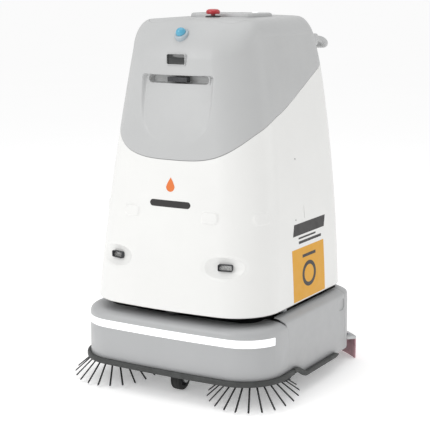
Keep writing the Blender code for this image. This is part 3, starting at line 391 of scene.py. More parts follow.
def smooth_path(points, steps=6):
    """Catmull-Rom curve through the points."""
    pts = [Vector(p) for p in points]
    pts = [pts[0] * 2 - pts[1], *pts, pts[-1] * 2 - pts[-2]]
    path = []
    for i in range(1, len(pts) - 2):
        a, b, c, d = pts[i - 1:i + 3]
        for k in range(steps):
            t = k / steps
            path.append(0.5 * (2 * b + (c - a) * t + (2 * a - 5 * b + 4 * c - d) * t * t
                               + (3 * b - a - 3 * c + d) * t ** 3))
    return path + [pts[-2]]


# ---- the body's skin ------------------------------------------------------------------------
def half_width(z):
    t = (z - BODY_BASE) / 0.687
    return 0.264 - 0.0257 * t - 0.0543 * t * t


def front_line(z):
    s = z - BODY_BASE
    return -0.098 + 0.141 * s - 0.052 * s * s


def rear_line(z):
    return BODY_REAR - 0.9 * max(0.0, z - 0.78) ** 2


def spread(*runs):
    """Shares from 0 to 1 in runs of (end share, steps)."""
    values, start = [], 0.0
    for end, steps in runs:
        values += [start + (end - start) * i / steps for i in range(steps)]
        start = end
    return values


FRONT_STEPS = spread((0.36, 10), (1.0, 46))
ARC_STEPS = spread((0.55, 54), (1.0, 26))
SIDE_STEPS = spread((0.35, 22), (0.5, 12), (1.0, 12))
REAR_ARC_STEPS = spread((1.0, 14))
REAR_STEPS = spread((1.0, 10))


def outline(half, front, rear, front_radius, rear_radius, crown):
    """Fine plan outline, counter-clockwise from above, from the middle of the front."""
    lean = 2 * crown / (half - front_radius)
    corner_x = half - front_radius
    start_x = corner_x + front_radius * math.sin(lean)
    corner_y = front + crown + front_radius * math.cos(lean)
    rear_corner = rear - rear_radius
    side = [(start_x * t, front + crown * t * t) for t in FRONT_STEPS]
    for t in ARC_STEPS:
        angle = -math.pi / 2 + lean + (math.pi / 2 - lean) * t
        side.append((corner_x + front_radius * math.cos(angle),
                     corner_y + front_radius * math.sin(angle)))
    side += [(half, corner_y + (rear_corner - corner_y) * t) for t in SIDE_STEPS]
    side += [(half - rear_radius + rear_radius * math.cos(math.pi / 2 * t),
              rear_corner + rear_radius * math.sin(math.pi / 2 * t)) for t in REAR_ARC_STEPS]
    side += [((half - rear_radius) * (1 - t), rear) for t in REAR_STEPS]
    side.append((0.0, rear))
    return side + [(-x, y) for x, y in side[-2:0:-1]]


CACHE = {}


def skin_outline(z, grow=0.0):
    key = (round(z, 6), grow)
    if key not in CACHE:
        CACHE[key] = outline(half_width(z) + grow, front_line(z) - grow, rear_line(z) + grow,
                             BODY_FRONT_RADIUS + grow, BODY_REAR_RADIUS + grow, BODY_CROWN)
    return CACHE[key]


def top_surface(x, y):
    return TOP_Z + 0.02 * (y - 0.1) - 0.003 * (x / 0.15) ** 2


def ease(t):
    t = min(1.0, max(0.0, t))
    return t * t * (3 - 2 * t)


def colour_line(x, y):
    front = 0.6103 + 15.6 * abs(x) ** 3.4
    side = 0.6495 + 0.42 * (y + 0.05) + 0.0075 * math.exp(-((y - 0.075) / 0.05) ** 2)
    return front + (side - front) * ease((y - 0.010) / 0.035)


def level_ring(heights, grow=0.0):
    return [(*skin_outline(z, grow)[i], z) for i, z in enumerate(heights)]


def flat_ring(z, grow=0.0):
    return [(x, y, z) for x, y in skin_outline(z, grow)]


COLUMNS = len(skin_outline(0.7))


def joint_heights(offset=0.0):
    heights = [0.7] * COLUMNS
    for _ in range(4):
        heights = [colour_line(x, y) + offset for x, y, _ in level_ring(heights)]
    return heights


def crest():
    values = []
    for _, y in skin_outline(CREST_SIDE[0]):
        front, rear = ease((0.090 - y) / 0.110), ease((y - 0.330) / 0.100)
        values.append(tuple(side + (ahead - side) * front + (behind - side) * rear
                            for side, ahead, behind in zip(CREST_SIDE, CREST_FRONT, CREST_REAR)))
    return values


CREST = crest()


def top_rings(grow=0.0, count=22, scales=(0.85, 0.7, 0.5, 0.3, 0.12, 0.02)):
    heights = [z for z, _, _ in CREST]
    base, shrunk = level_ring(heights, grow), level_ring(heights, grow - 0.01)
    rings = []
    for step in range(1, count + 1):
        turn = math.pi / 2 * (step / count) ** 1.25
        ring = []
        for (x, y, z), (inner_x, inner_y, _), (_, inset, power) in zip(base, shrunk, CREST):
            share = inset * (1 - math.cos(turn)) ** power / 0.01
            x, y = x + (inner_x - x) * share, y + (inner_y - y) * share
            ring.append((x, y, z + (top_surface(x, y) + grow - z) * math.sin(turn)))
        rings.append(ring)
    last = rings[-1]
    for scale in scales:
        ring = []
        for x, y, _ in last:
            x, y = x * scale, 0.2 + (y - 0.2) * scale
            ring.append((x, y, top_surface(x, y) + grow))
        rings.append(ring)
    return rings


def head_side(start, count, grow=0.0):
    rings = []
    for i in range(count + 1):
        levels = [low + (high - low) * i / count for low, (high, _, _) in zip(start, CREST)]
        rings.append(level_ring(levels, grow))
    return rings


def coarse_solid(grow):
    """The outer form, grown or shrunk, from the lowest joint height up."""
    start = [0.55] * COLUMNS
    return loft(head_side(start, 10, grow) + top_rings(grow))


# ---- shape of the front: dishes, pads and the recessed panel ---------------------------------
def oval(x, z, centre, half, power=2.0):
    """0 in the middle of an oval, 1 on its edge."""
    return (abs((x - centre[0]) / half[0]) ** power + abs((z - centre[1]) / half[1]) ** power) ** (
        1 / power)


def body_relief(x, y, z):
    """How far a point of the white casing is pressed in (positive) or raised."""
    depth = 0.0
    if y < 0.05:
        around = oval(abs(x), z, (0.1590, 0.3535), (0.0500, 0.0265), 2.3)
        if around < 1.25:
            bowl = 0.0135 * (1 - min(1.0, around) ** 2) ** 0.75 if around < 1 else 0.0
            depth += bowl
            depth += 0.0012 * math.exp(-((around - 1.06) / 0.07) ** 2)
        if abs(x) < 0.2:
            pad = oval(abs(x), z, (0.1155, 0.4735), (0.0235, 0.0150), 3.2)
            depth -= 0.0035 * ease((1.06 - pad) / 0.22)
    if abs(x) > 0.2 and y < 0.10:
        pad = oval(y, z, (0.0, 0.4715), (0.0200, 0.0150), 3.2)
        depth -= 0.0020 * ease((1.06 - pad) / 0.22)
    return depth


PANEL_TOP, PANEL_FOOT = 0.8205, 0.648


def panel_half(z):
    """Half width of the recessed panel at a height."""
    t = (z - PANEL_FOOT) / (PANEL_TOP - PANEL_FOOT)
    return 0.104 * math.sqrt(1 - (1 - min(1.0, max(0.0, t))) ** 5)


def head_relief(x, z):
    """Depth of the recessed panel below the brow of the grey head."""
    if z > PANEL_TOP + 0.006 or z < PANEL_FOOT or abs(x) > 0.125:
        return 0.0
    t = (z - PANEL_FOOT) / (PANEL_TOP - PANEL_FOOT)
    depth = 0.0132 * min(1.0, t) ** 1.55
    half = panel_half(min(z, PANEL_TOP))
    edge = ease((half - abs(x)) / 0.0095 + 0.25)
    brow = ease((PANEL_TOP + 0.0012 - z) / 0.0034)
    return depth * edge * brow


def press(bm, relief):
    """Move every vertex in along its own normal by what the relief function asks."""
    bm.normal_update()
    moves = []
    for vert in bm.verts:
        depth = relief(vert.co)
        if depth:
            moves.append((vert, vert.normal * -depth))
    for vert, move in moves:
        vert.co += move


def rows_of(*runs):
    """Heights in runs of (end, steps) from the first value."""
    start, values = runs[0], []
    for end, steps in runs[1:]:
        values += [start + (end - start) * i / steps for i in range(steps)]
        start = end
    return values + [start]


def surface_frame(x, y, z, yaw, pitch):
    """A matrix whose Z points out of the skin and whose Y runs up it."""
    turn = Matrix.Rotation(yaw, 4, "Z") @ Matrix.Rotation(pitch, 4, "X")
    facing = Matrix.Rotation(math.pi / 2, 4, "X")
    return Matrix.Translation((x, y, z)) @ turn @ facing


def window_prism(side, grow, low, high):
    """A block on the axis of the sensor window in a front dish."""
    bm = prism(rounded_rectangle(0.0175 + grow, -0.007 - grow, 0.007 + grow, 0.002 + grow),
               "Z", low, high)
    at = surface_frame(side * 0.163, front_line(0.353) + 0.012, 0.353, side * math.radians(14), 0)
    bmesh.ops.transform(bm, matrix=at, verts=bm.verts)
    return bm


def window_pocket(side):
    return window_prism(side, 0.0, -0.0125, 0.030)


def sensor_housings():
    """Dark sleeves behind the dishes, round the two low sensor windows."""
    for side, word in ((1, "left"), (-1, "right")):
        sleeve = boolean(window_prism(side, 0.0014, -0.0122, -0.0022),
                         [window_prism(side, 0.0, -0.020, 0.030)])
        publish(sleeve, "sensor_sleeve_" + word, CASE, bevel=0.0003)


def body_shell():
    joint = joint_heights(-SEAM / 2)
    outer = []
    for i in range(6):
        turn = math.pi / 2 * i / 6
        outer.append(flat_ring(BODY_BASE + 0.006 * (1 - math.cos(turn)),
                               -0.006 * (1 - math.sin(turn))))
    for z in rows_of(BODY_BASE + 0.006, (0.318, 12), (0.390, 42), (0.452, 8), (0.494, 22)):
        outer.append(flat_ring(z))
    start = 0.494
    for i in range(1, 31):
        outer.append(level_ring([start + (z - start) * i / 30 for z in joint]))
    low = BODY_BASE + 0.006
    inner = [flat_ring(BODY_BASE, -0.006 - WALL), flat_ring(low, -WALL)]
    for z in rows_of(low, (0.318, 4), (0.390, 21), (0.452, 4), (0.494, 11)):
        inner.append(flat_ring(z, -WALL))
    for i in range(1, 11):
        inner.append(level_ring([start + (z - start) * i / 10 for z in joint], -WALL))
    bm = loft(outer, caps=False)
    press(bm, lambda p: body_relief(p.x, p.y, p.z) if p.z > 0.3 else 0.0)
    lining = loft(inner, caps=False)
    press(lining, lambda p: body_relief(p.x, p.y, p.z) if p.z > 0.3 else 0.0)
    merge(bm, lining)
    merge(bm, loft([outer[0], inner[0]], caps=False))
    merge(bm, loft([inner[-1], outer[-1]], caps=False))
    bmesh.ops.remove_doubles(bm, verts=bm.verts, dist=1e-5)
    bmesh.ops.recalc_face_normals(bm, faces=bm.faces)
    rim = box((-0.164, BODY_REAR - 0.013, 0.346), (0.164, BODY_REAR - 0.0005, 0.674), 0.002)
    bm = boolean(bm, [rim], "UNION")
    doorway = prism([(x - DOOR_SWING if x < 0 else x, z + DOOR_Z)
                     for x, z in rounded_rectangle(DOOR_HALF, -DOOR_HALF, DOOR_HALF, 0.006)],
                    "Y", BODY_REAR - 0.03, BODY_REAR + 0.03)
    tools = [doorway, box((-DOOR_HALF - DOOR_SWING, BODY_REAR - 0.03, DOOR_Z - DOOR_HALF),
                          (-0.140, BODY_REAR + 0.03, DOOR_Z + DOOR_HALF))]
    for y, z in SIDE_SCREWS:
        for side in (-1, 1):
            half = half_width(z)
            tools.append(rod((side * (half - 0.0022), y, z), (side * (half + 0.01), y, z),
                             0.0024, 16))
    for side in (-1, 1):
        tools.append(window_pocket(side))
    groove = []
    for side in (-1, 1):
        half = half_width(0.47)
        low_x, high_x = sorted((side * (half - 0.0012), side * (half + 0.01)))
        groove.append(box((low_x, 0.1952, 0.446), (high_x, 0.1972, 0.492)))
    bm = boolean(bm, tools + groove)
    return publish(bm, "casing_white", WHITE, replaces=["body_shell"])


def lid_plan(grow, rear_gap=0.0):
    return rounded_rectangle(LID_HALF + grow, LID_FRONT - grow, LID_REAR + grow + rear_gap,
                             LID_CORNER, 10, LID_REAR_CORNER)


def head_shell():
    joint = joint_heights(SEAM / 2)
    outer = head_side(joint, 92) + top_rings()
    inner = head_side(joint, 46, -WALL) + top_rings(-WALL, 8, (0.6, 0.02))
    bm = loft(outer, caps=False)
    press(bm, lambda p: head_relief(p.x, p.z) if p.y < 0.0 else 0.0)
    lining = loft(inner, caps=False)
    press(lining, lambda p: head_relief(p.x, p.z) if p.y < 0.0 else 0.0)
    rim = loft([outer[0], inner[0]], caps=False)
    merge(bm, lining)
    merge(bm, rim)
    bmesh.ops.remove_doubles(bm, verts=bm.verts, dist=1e-5)
    bmesh.ops.holes_fill(bm, edges=[e for e in bm.edges if e.is_boundary], sides=0)
    bmesh.ops.recalc_face_normals(bm, faces=bm.faces)
    tools = [prism(lid_plan(0.0, LID_REAR_GAP), "Z", 0.90, 1.0)]
    front = front_line(0.86)
    window = [(x, z + WINDOW_Z) for x, z in rounded_rectangle(0.0285, -0.0147, 0.0147, 0.0045)]
    tools.append(prism(window, "Y", -0.08, front + 0.0035))
    tools.append(rod((0, ESTOP_STATION, 0.94), (0, ESTOP_STATION, 1.0), 0.010))
    slot_front = front_line(0.81)
    mouth = [(x, z + SLOT_Z) for x, z in rounded_rectangle(0.0885, -0.0105, 0.0105, 0.0100)]
    tools.append(prism(mouth, "Y", -0.2, slot_front + 0.022))
    bm = boolean(bm, tools)
    liner = box((-0.0925, slot_front + 0.0150, 0.7955), (0.0925, slot_front + 0.0370, 0.8245),
                0.003)
    throat = [(x * 0.94, (z - SLOT_Z) * 0.74 + SLOT_Z) for x, z in mouth]
    pocket = loft([[(x, slot_front - 0.02, z) for x, z in mouth],
                   [(x, slot_front + 0.0165, z) for x, z in mouth],
                   [(x, slot_front + 0.0335, z) for x, z in throat]])
    publish(boolean(liner, [pocket]), "slot_liner", GREY, bevel=0.0004)
    return publish(bm, "casing_grey", GREY, replaces=["head_shell"])


def lid():
    flap = prism(lid_plan(-0.0004), "Z", 0.90, 1.0)
    flap = boolean(flap, [coarse_solid(0.0)], "INTERSECT")
    flap = boolean(flap, [coarse_solid(-LID_THICK)])
    return publish(flap, "filler_lid", GREY, "lid", ["lid"])


# ---- chassis covers --------------------------------------------------------------------------
def chassis_ring(z, grow):
    plan = outline(CHASSIS_HALF + grow, CHASSIS_FRONT - grow, CHASSIS_REAR + grow,
                   CHASSIS_FRONT_RADIUS + grow, CHASSIS_REAR_RADIUS + grow, CHASSIS_CROWN)
    return [(x, y, z) for x, y in plan]


def rounded_profile(profile, steps=7, reach=0.42):
    """Round the corners of a (height, inset) profile."""
    points = [profile[0]]
    for before, here, after in zip(profile, profile[1:], profile[2:]):
        a = [h + (b - h) * min(0.5, reach) for h, b in zip(here, before)]
        c = [h + (b - h) * min(0.5, reach) for h, b in zip(here, after)]
        limit = 0.010
        for end in (a, c):
            length = math.dist(here, end)
            if length > limit:
                for k in (0, 1):
                    end[k] = here[k] + (end[k] - here[k]) * limit / length
        for i in range(steps + 1):
            t = i / steps
            points.append(tuple((1 - t) ** 2 * a[k] + 2 * t * (1 - t) * here[k] + t * t * c[k]
                                for k in (0, 1)))
    return points + [profile[-1]]


def inner_profile(profile, wall):
    moved = []
    for i, (z, inset) in enumerate(profile):
        before, after = profile[max(i - 1, 0)], profile[min(i + 1, len(profile) - 1)]
        dz, di = after[0] - before[0], after[1] - before[1]
        length = math.hypot(dz, di)
        moved.append((z - wall * di / length, inset + wall * dz / length))
    return moved


def cover_ring(profile):
    fine = rounded_profile(profile)
    outer = [chassis_ring(z, -inset) for z, inset in fine]
    inner = [chassis_ring(z, -inset) for z, inset in inner_profile(fine, WALL)[::3]]
    inner.append([tuple(p) for p in chassis_ring(*[v * s for v, s in zip(
        inner_profile(fine, WALL)[-1], (1, -1))])])
    return loft(outer + inner[::-1], closed=True, caps=False)


def covers():
    behind = [(y - SEAM / 2, z) for z, y in SEAM_LINE] + [(FAR, 0.24), (FAR, 0.04)]
    groove = loft([chassis_ring(z, g) for z, g in
                   ((LIGHT_LOW - 0.0004, 0.01), (LIGHT_HIGH + 0.0004, 0.01),
                    (LIGHT_HIGH + 0.0004, -0.0020), (LIGHT_LOW - 0.0004, -0.0020))], closed=True)
    groove = boolean(groove, [box((-FAR, LIGHT_END + 0.0003, 0), (FAR, FAR, 1))])
    front = boolean(cover_ring(FRONT_PROFILE), [prism(behind, "X", -FAR, FAR), groove])
    publish(front, "cover_front", COVER, replaces=["front_cover"],
            bevel=0.0006)
    for word, side in (("left", 1), ("right", -1)):
        before = [(y + SEAM / 2, z) for z, y in SEAM_LINE] + [(-FAR, 0.24), (-FAR, 0.04)]
        other = box((-FAR, -FAR, 0), (0, FAR, 1)) if side > 0 else box((0, -FAR, 0), (FAR, FAR, 1))
        stations = [0.03 + 0.115 * i / 40 for i in range(41)]
        low = [(y, strip_height(y) - 0.003) for y in stations] + [(0.145, 0.0), (0.03, 0.0)]
        notch_plan = [(y + 0.371, z + 0.177) for y, z in rounded_rectangle(0.0165, -0.016, 0.016, 0.008)]
        low_x, high_x = sorted((side * (CHASSIS_HALF - 0.0034), side * FAR))
        notch = prism(notch_plan, "X", low_x, high_x)
        cover = boolean(cover_ring(SIDE_PROFILE),
                        [prism(before, "X", -FAR, FAR), other,
                         box((-FAR, REAR_SEAM - SEAM / 2, 0), (FAR, FAR, 1)),
                         prism(low, "X", -FAR, FAR), notch])
        publish(cover, "cover_side_" + word, COVER,
                replaces=["side_cover_" + word], bevel=0.0006)
    rear = boolean(cover_ring(SIDE_PROFILE),
                   [box((-FAR, -FAR, 0), (FAR, REAR_SEAM + SEAM / 2, 1)),
                    rod((0, 0.40, 0.150), (0, 0.50, 0.150), 0.0205, 48)])
    publish(rear, "cover_rear", COVER, replaces=["rear_cover"], bevel=0.0006)


def gaskets():
    """Dark seals set back in the joints between the front cover and the side covers."""
    line = [(z, y) for z, y in SEAM_LINE if z < 0.19]
    line = [(max(z, 0.078), y) for z, y in line]
    plan = [(y - 0.0020, z) for z, y in line] + [(y + 0.0020, z) for z, y in line[::-1]]
    for side, word in ((1, "left"), (-1, "right")):
        limits = sorted((side * (CHASSIS_HALF - 0.0060), side * (CHASSIS_HALF - 0.0022)))
        publish(prism(plan, "X", *limits), "cover_seal_" + word, TYRE)


def strip_height(y):
    t = min(1.0, max(0.0, (0.142 - y) / 0.062))
    return 0.0472 + 0.0243 * t * t * (3 - 2 * t)


def arc_section(points, steps=5):
    """Round a closed section's corners with small quarter turns."""
    out = []
    count = len(points)
    for i, here in enumerate(points):
        before, after = points[i - 1], points[(i + 1) % count]
        a = [h + (b - h) * 0.34 for h, b in zip(here, before)]
        c = [h + (b - h) * 0.34 for h, b in zip(here, after)]
        for k in range(steps + 1):
            t = k / steps
            out.append(tuple((1 - t) ** 2 * a[n] + 2 * t * (1 - t) * here[n] + t * t * c[n]
                             for n in (0, 1)))
    return out


def strips():
    band = loft([chassis_ring(z, g) for z, g in
                 ((LIGHT_LOW, -0.0017), (LIGHT_LOW, 0.0004), (LIGHT_LOW + 0.0007, 0.0010),
                  (LIGHT_LOW + 0.0020, 0.0011), (LIGHT_HIGH - 0.0020, 0.0011),
                  (LIGHT_HIGH - 0.0007, 0.0010), (LIGHT_HIGH, 0.0004), (LIGHT_HIGH, -0.0017))],
                closed=True)
    band = boolean(band, [box((-FAR, LIGHT_END, 0), (FAR, FAR, 1))])
    publish(band, "light_band_front", BAND, replaces=["light_strip"])
    section = arc_section(((0.0004, 0.0620), (0.0085, 0.0620), (0.0100, 0.0650), (0.0100, 0.0740),
                           (0.0085, 0.0770), (0.0004, 0.0770)))
    front = loft([chassis_ring(z, g) for g, z in section], closed=True)
    front = boolean(front, [box((-FAR, 0.0665, 0), (FAR, FAR, 1))])
    publish(front, "bumper_front", RUBBER, replaces=["front_bumper_strip"])
    path = [(y, strip_height(y)) for y in [0.0675 + (0.150 - 0.0675) * i / 40 for i in range(41)]]
    path += [(0.150 + (0.3352 - 0.150) * i / 12, strip_height(0.33)) for i in range(1, 13)]
    for word, side in (("left", 1), ("right", -1)):
        rings = []
        for i, (y, z) in enumerate(path):
            before, after = path[max(i - 1, 0)], path[min(i + 1, len(path) - 1)]
            tilt = math.atan2(after[1] - before[1], after[0] - before[0])
            tip = min(1.0, (0.3358 - y) / 0.012) ** 0.5 if y > 0.32 else 1.0
            ring = []
            for k in range(20):
                a = 2 * math.pi * k / 20
                out = math.copysign(abs(math.cos(a)) ** 0.6, math.cos(a)) * 0.0052
                up = math.copysign(abs(math.sin(a)) ** 0.6, math.sin(a)) * 0.0070 * tip
                ring.append((side * (CHASSIS_HALF + 0.0004 + 0.0053 + out), y - up * math.sin(tilt),
                             z + up * math.cos(tilt)))
            rings.append(ring)
        publish(loft(rings), "bumper_side_" + word, RUBBER,
                replaces=["side_bumper_strip_" + word])


# ---- brushes, wheels and scrubbing gear -------------------------------------------------------
def side_brush(side, word):
    at = Matrix.Translation((side * BRUSH_X, 0, BRUSH_TIP_Z)) @ Matrix.Rotation(BRUSH_TILT, 4, "X")
    body = "side_brush_" + word
    bm = bmesh.new()
    for i in range(TUFTS):
        angle = FIRST_TUFT + i * 2 * math.pi / TUFTS
        ahead = Vector((math.cos(angle), math.sin(angle), 0))
        across = Vector((-math.sin(angle), math.cos(angle), 0))
        root = ahead * 0.0372 + Vector((0, 0, 0.0684))
        tip = ahead * BRUSH_TIP_RADIUS + Vector((0, 0, 0.0030))
        strands = [(0.0, 0.0)] + [(math.cos(t), math.sin(t))
                                  for t in [2 * math.pi * k / 6 + i for k in range(6)]]
        for k, (u, v) in enumerate(strands):
            length = 0.965 + 0.035 * ((i * 7 + k * 5) % 11) / 10
            fan = 0.0013 * (1 if k else 0)
            start = root + across * u * 0.0015 + Vector((0, 0, 1)) * v * 0.0011
            end = root + (tip - root) * length + across * u * (0.0013 + fan * 0.25) \
                + Vector((0, 0, 1)) * v * 0.0008
            middle = (start + end) / 2 + Vector((0, 0, 0.0006))
            merge(bm, tube([start, middle, end], 0.00105, 5))
    piece = publish(bm, "bristles_" + word, BRISTLE, body,
                    ["side_brush_bristles_" + word], sharp=60)
    place(piece, at)
    profile = [(0, 0.0560), (0.019, 0.0560), (0.0200, 0.0570), (0.0205, 0.0655), (0.0380, 0.0660),
               (0.0415, 0.0690), (0.0430, 0.0709), (0.0430, 0.0745), (0.0415, 0.0765),
               (0.0300, 0.0820), (0.0270, 0.0830), (0.0120, 0.0845), (0.0110, 0.0860),
               (0.0110, 0.0950), (0.0100, 0.0960), (0, 0.0960)]
    hub = turned(profile, 64)
    tools = [rod((0.030 * math.cos(a), 0.030 * math.sin(a), 0.0765),
                 (0.030 * math.cos(a), 0.030 * math.sin(a), 0.09), 0.0032, 16)
             for a in [2 * math.pi * i / 6 for i in range(6)]]
    hub = boolean(hub, tools)
    piece = publish(hub, "brush_hub_" + word, CASE, body,
                    ["side_brush_hub_" + word], bevel=0.0004)
    place(piece, at)


def place(piece, at):
    """Carry a piece drawn about the origin to its own axis, in station coordinates."""
    shift = Matrix.Translation((0, BRUSH_LINE_Y, 0))
    piece.data.transform(shift @ at @ shift.inverted())


def wheel(name, node, spot, half, core, radius, bore, body, spokes, paint=TYRE):
    """Rubber tyre with rounded shoulders and a tread of fine grooves, on a moulded core."""
    turn = Matrix.Translation(spot) @ Matrix.Rotation(math.pi / 2, 4, "Y")
    soft = (radius - core) * 0.42
    profile = [(core, -half)]
    for i in range(6):
        a = math.pi / 2 * i / 5
        profile.append((radius - soft + soft * math.sin(a), -half + soft - soft * math.cos(a)))
    grooves = 3 if half > 0.015 else 2
    for k in range(grooves):
        mid = -half * 0.5 + half * k / max(1, grooves - 1)
        profile += [(radius, mid - 0.0009), (radius - 0.0009, mid - 0.0005),
                    (radius - 0.0009, mid + 0.0005), (radius, mid + 0.0009)]
    for i in range(6):
        a = math.pi / 2 * (1 - i / 5)
        profile.append((radius - soft + soft * math.sin(a), half - soft + soft * math.cos(a)))
    profile.append((core, half))
    tyre = turned(profile, 72, turn)
    publish(tyre, name + "_tyre", paint, body, [node], sharp=40)
    rim = [(bore, half), (bore, -half), (core * 0.42, -half), (core * 0.46, -half * 0.55),
           (core * 0.86, -half * 0.55), (core * 0.90, -half * 0.96), (core - 0.0002, -half * 0.96),
           (core - 0.0002, half * 0.96), (core * 0.90, half * 0.96), (core * 0.86, half * 0.55),
           (core * 0.46, half * 0.55), (core * 0.42, half)]
    hub = turned(rim, 64)
    tools = []
    for i in range(spokes):
        a = 2 * math.pi * i / spokes
        r = core * 0.66
        tools.append(rod((r * math.cos(a), r * math.sin(a), -half), (r * math.cos(a),
                         r * math.sin(a), half), core * 0.145, 20))
    hub = boolean(hub, tools)
    bmesh.ops.transform(hub, matrix=turn, verts=hub.verts)
    publish(hub, name + "_core", CASE, body, bevel=0.0004)


def caster():
    y, z, swivel = -0.017, 0.031, -0.042
    wheel("caster", "caster_wheel", (0, y, z), 0.0130, 0.0215, 0.031, 0.0046, "caster_wheel", 6)
    plate = box((-0.0190, swivel - 0.018, 0.0660), (0.0190, y + 0.018, 0.0710), 0.0012)
    parts = []
    for side in (-1, 1):
        low, high = sorted((side * 0.0158, side * 0.0189))
        cheek = [(y - 0.011, z - 0.004)]
        cheek += [(y + 0.0118 * math.sin(a), z - 0.0118 * math.cos(a) + 0.0012)
                  for a in [math.radians(d) for d in range(-60, 61, 12)]]
        cheek += [(y + 0.011, z - 0.004), (y + 0.017, 0.0680), (swivel - 0.010, 0.0680)]
        parts.append(prism(cheek, "X", low, high))
    stem = turned([(0, 0.069), (0.0145, 0.069), (0.0145, 0.0800), (0.0135, 0.0815),
                   (0.0135, 0.1050), (0.0125, 0.1070), (0.0080, 0.1075), (0.0080, 0.124),
                   (0, 0.124)], 40, Matrix.Translation((0, swivel, 0)))
    axle = rod((-0.0205, y, z), (0.0205, y, z), 0.0042, 24, 0.0006)
    fork = boolean(plate, parts + [stem, axle], "UNION")
    publish(fork, "castor_fork", ZINC, "caster_fork", ["caster_fork"], bevel=0.0004)


def arc_bar(inner, outer, low, high, half=SQUEEGEE_HALF, count=64):
    reach = math.asin(half / SQUEEGEE_RADIUS)
    rings = []
    for i in range(count + 1):
        angle = -reach + 2 * reach * i / count
        rings.append([(r * math.sin(angle), SQUEEGEE_CENTRE + r * math.cos(angle), z)
                      for r, z in ((inner, low), (outer, low), (outer, high), (inner, high))])
    return loft(rings)


def squeegee():
    r = SQUEEGEE_RADIUS
    bar = arc_bar(r - 0.024, r + 0.0030, 0.0580, 0.0660)
    carriage = box((-0.105, 0.490, 0.0580), (0.105, 0.566, 0.0850), 0.004)
    port = rod((0, DUCT_STATION, 0.070), (0, DUCT_STATION, 0.1250), 0.0200, 48, 0.001)
    body = boolean(bar, [carriage, port], "UNION")
    tools = [rod((0, DUCT_STATION, 0), (0, DUCT_STATION, 0.2), 0.0165, 40)]
    tools += [rod((side * 0.075, 0.505, 0), (side * 0.075, 0.505, 0.2), 0.0054, 24)
              for side in (-1, 1)]
    body = boolean(body, tools)
    publish(body, "squeegee_beam", ZINC, "squeegee", ["squeegee_body"], bevel=0.0008)
    blade = arc_bar(r - 0.0010, r + 0.0030, 0.0015, 0.0577)
    publish(blade, "squeegee_lip", BLADE, "squeegee", ["squeegee_blade"],
            bevel=0.0004)
    bm = bmesh.new()
    for i in range(-4, 5):
        if i:
            angle = math.asin(SQUEEGEE_HALF * i / 4.3 / r)
            at = Matrix.Translation(((r - 0.010) * math.sin(angle), SQUEEGEE_CENTRE
                                     + (r - 0.010) * math.cos(angle), 0.0660))
            turned([(0, 0), (0.0062, 0), (0.0062, 0.0030), (0.0050, 0.0042), (0, 0.0042)], 6, at,
                   bm)
    publish(bm, "squeegee_nuts", STEEL, "squeegee", sharp=20)


# ---- head and body details ---------------------------------------------------------------------
def head_details():
    front = front_line(0.86)
    frame_plan = [(x, z + WINDOW_Z) for x, z in rounded_rectangle(0.0283, -0.0145, 0.0145, 0.0043)]
    hole_plan = [(x, z + 0.8600) for x, z in rounded_rectangle(0.0262, -0.0122, 0.0128, 0.0032)]
    rim = boolean(prism(frame_plan, "Y", front - 0.0030, front + 0.0034),
                  [prism(hole_plan, "Y", -0.2, 0.1)])
    publish(rim, "window_rim", GREY, bevel=0.0005)
    plan = [(x, z + WINDOW_Z) for x, z in rounded_rectangle(0.0270, -0.0135, 0.0135, 0.0038)]
    publish(prism(plan, "Y", front + 0.0004, front + 0.0030), "window_glass", GLASS,
            replaces=["camera_window"], bevel=0.0003)
    slot_front = front_line(0.81)
    camera = box((-0.0285, slot_front + 0.0075, 0.8040), (0.0285, slot_front + 0.024, 0.8160),
                 0.0010)
    for x in (-0.018, 0.0, 0.018):
        merge(camera, rod((x, slot_front + 0.0068, 0.8100), (x, slot_front + 0.010, 0.8100),
                          0.0042, 32, 0.0004))
    publish(camera, "depth_camera", CASE, replaces=["slot_camera"], sharp=40)

    lamp = Matrix.Translation((0, -0.0030, 0.9210)) @ Matrix.Rotation(BEACON_LEAN, 4, "X")
    base = turned([(0, -0.010), (0.0188, -0.010), (0.0188, 0.0022), (0.0178, 0.0040),
                   (0.0160, 0.0052), (0.0138, 0.0056), (0.0134, 0.0050), (0, 0.0050)], 64, lamp)
    base = boolean(base, [coarse_solid(-0.0002)])
    publish(base, "beacon_ring", RING, replaces=["beacon_base"], sharp=50)
    dome = [(0, 0.0052)] + [(0.0130 * math.cos(a), 0.0058 + 0.0130 * math.sin(a))
                            for a in [math.pi / 2 * i / 16 for i in range(16)]] + [(0, 0.0188)]
    publish(turned(dome, 48, lamp), "beacon_lens", BEACON,
            replaces=["beacon_dome"], sharp=60)


def top_details():
    y = ESTOP_STATION
    collar = turned([(0.0066, 0.9500), (0.0200, 0.9500), (0.0200, 0.9632), (0.0194, 0.9642),
                     (0.0180, 0.9648), (0.0120, 0.9650), (0.0066, 0.9650)], 64,
                    Matrix.Translation((0, y, 0)))
    publish(collar, "estop_ring", DARK, replaces=["estop_collar"], sharp=40)
    head = [(0, 0.9560), (0.006, 0.9560), (0.006, 0.9692), (0.0168, 0.9692), (0.0178, 0.9706),
            (0.0185, 0.9748), (0.0180, 0.9768), (0.0166, 0.9788), (0.0140, 0.9806),
            (0.0100, 0.9817), (0.0050, 0.9821), (0, 0.9822)]
    button = turned(head, 64, Matrix.Translation((0, y, 0)))
    publish(button, "estop_head", RED, "estop_button", ["estop_button"], sharp=45)


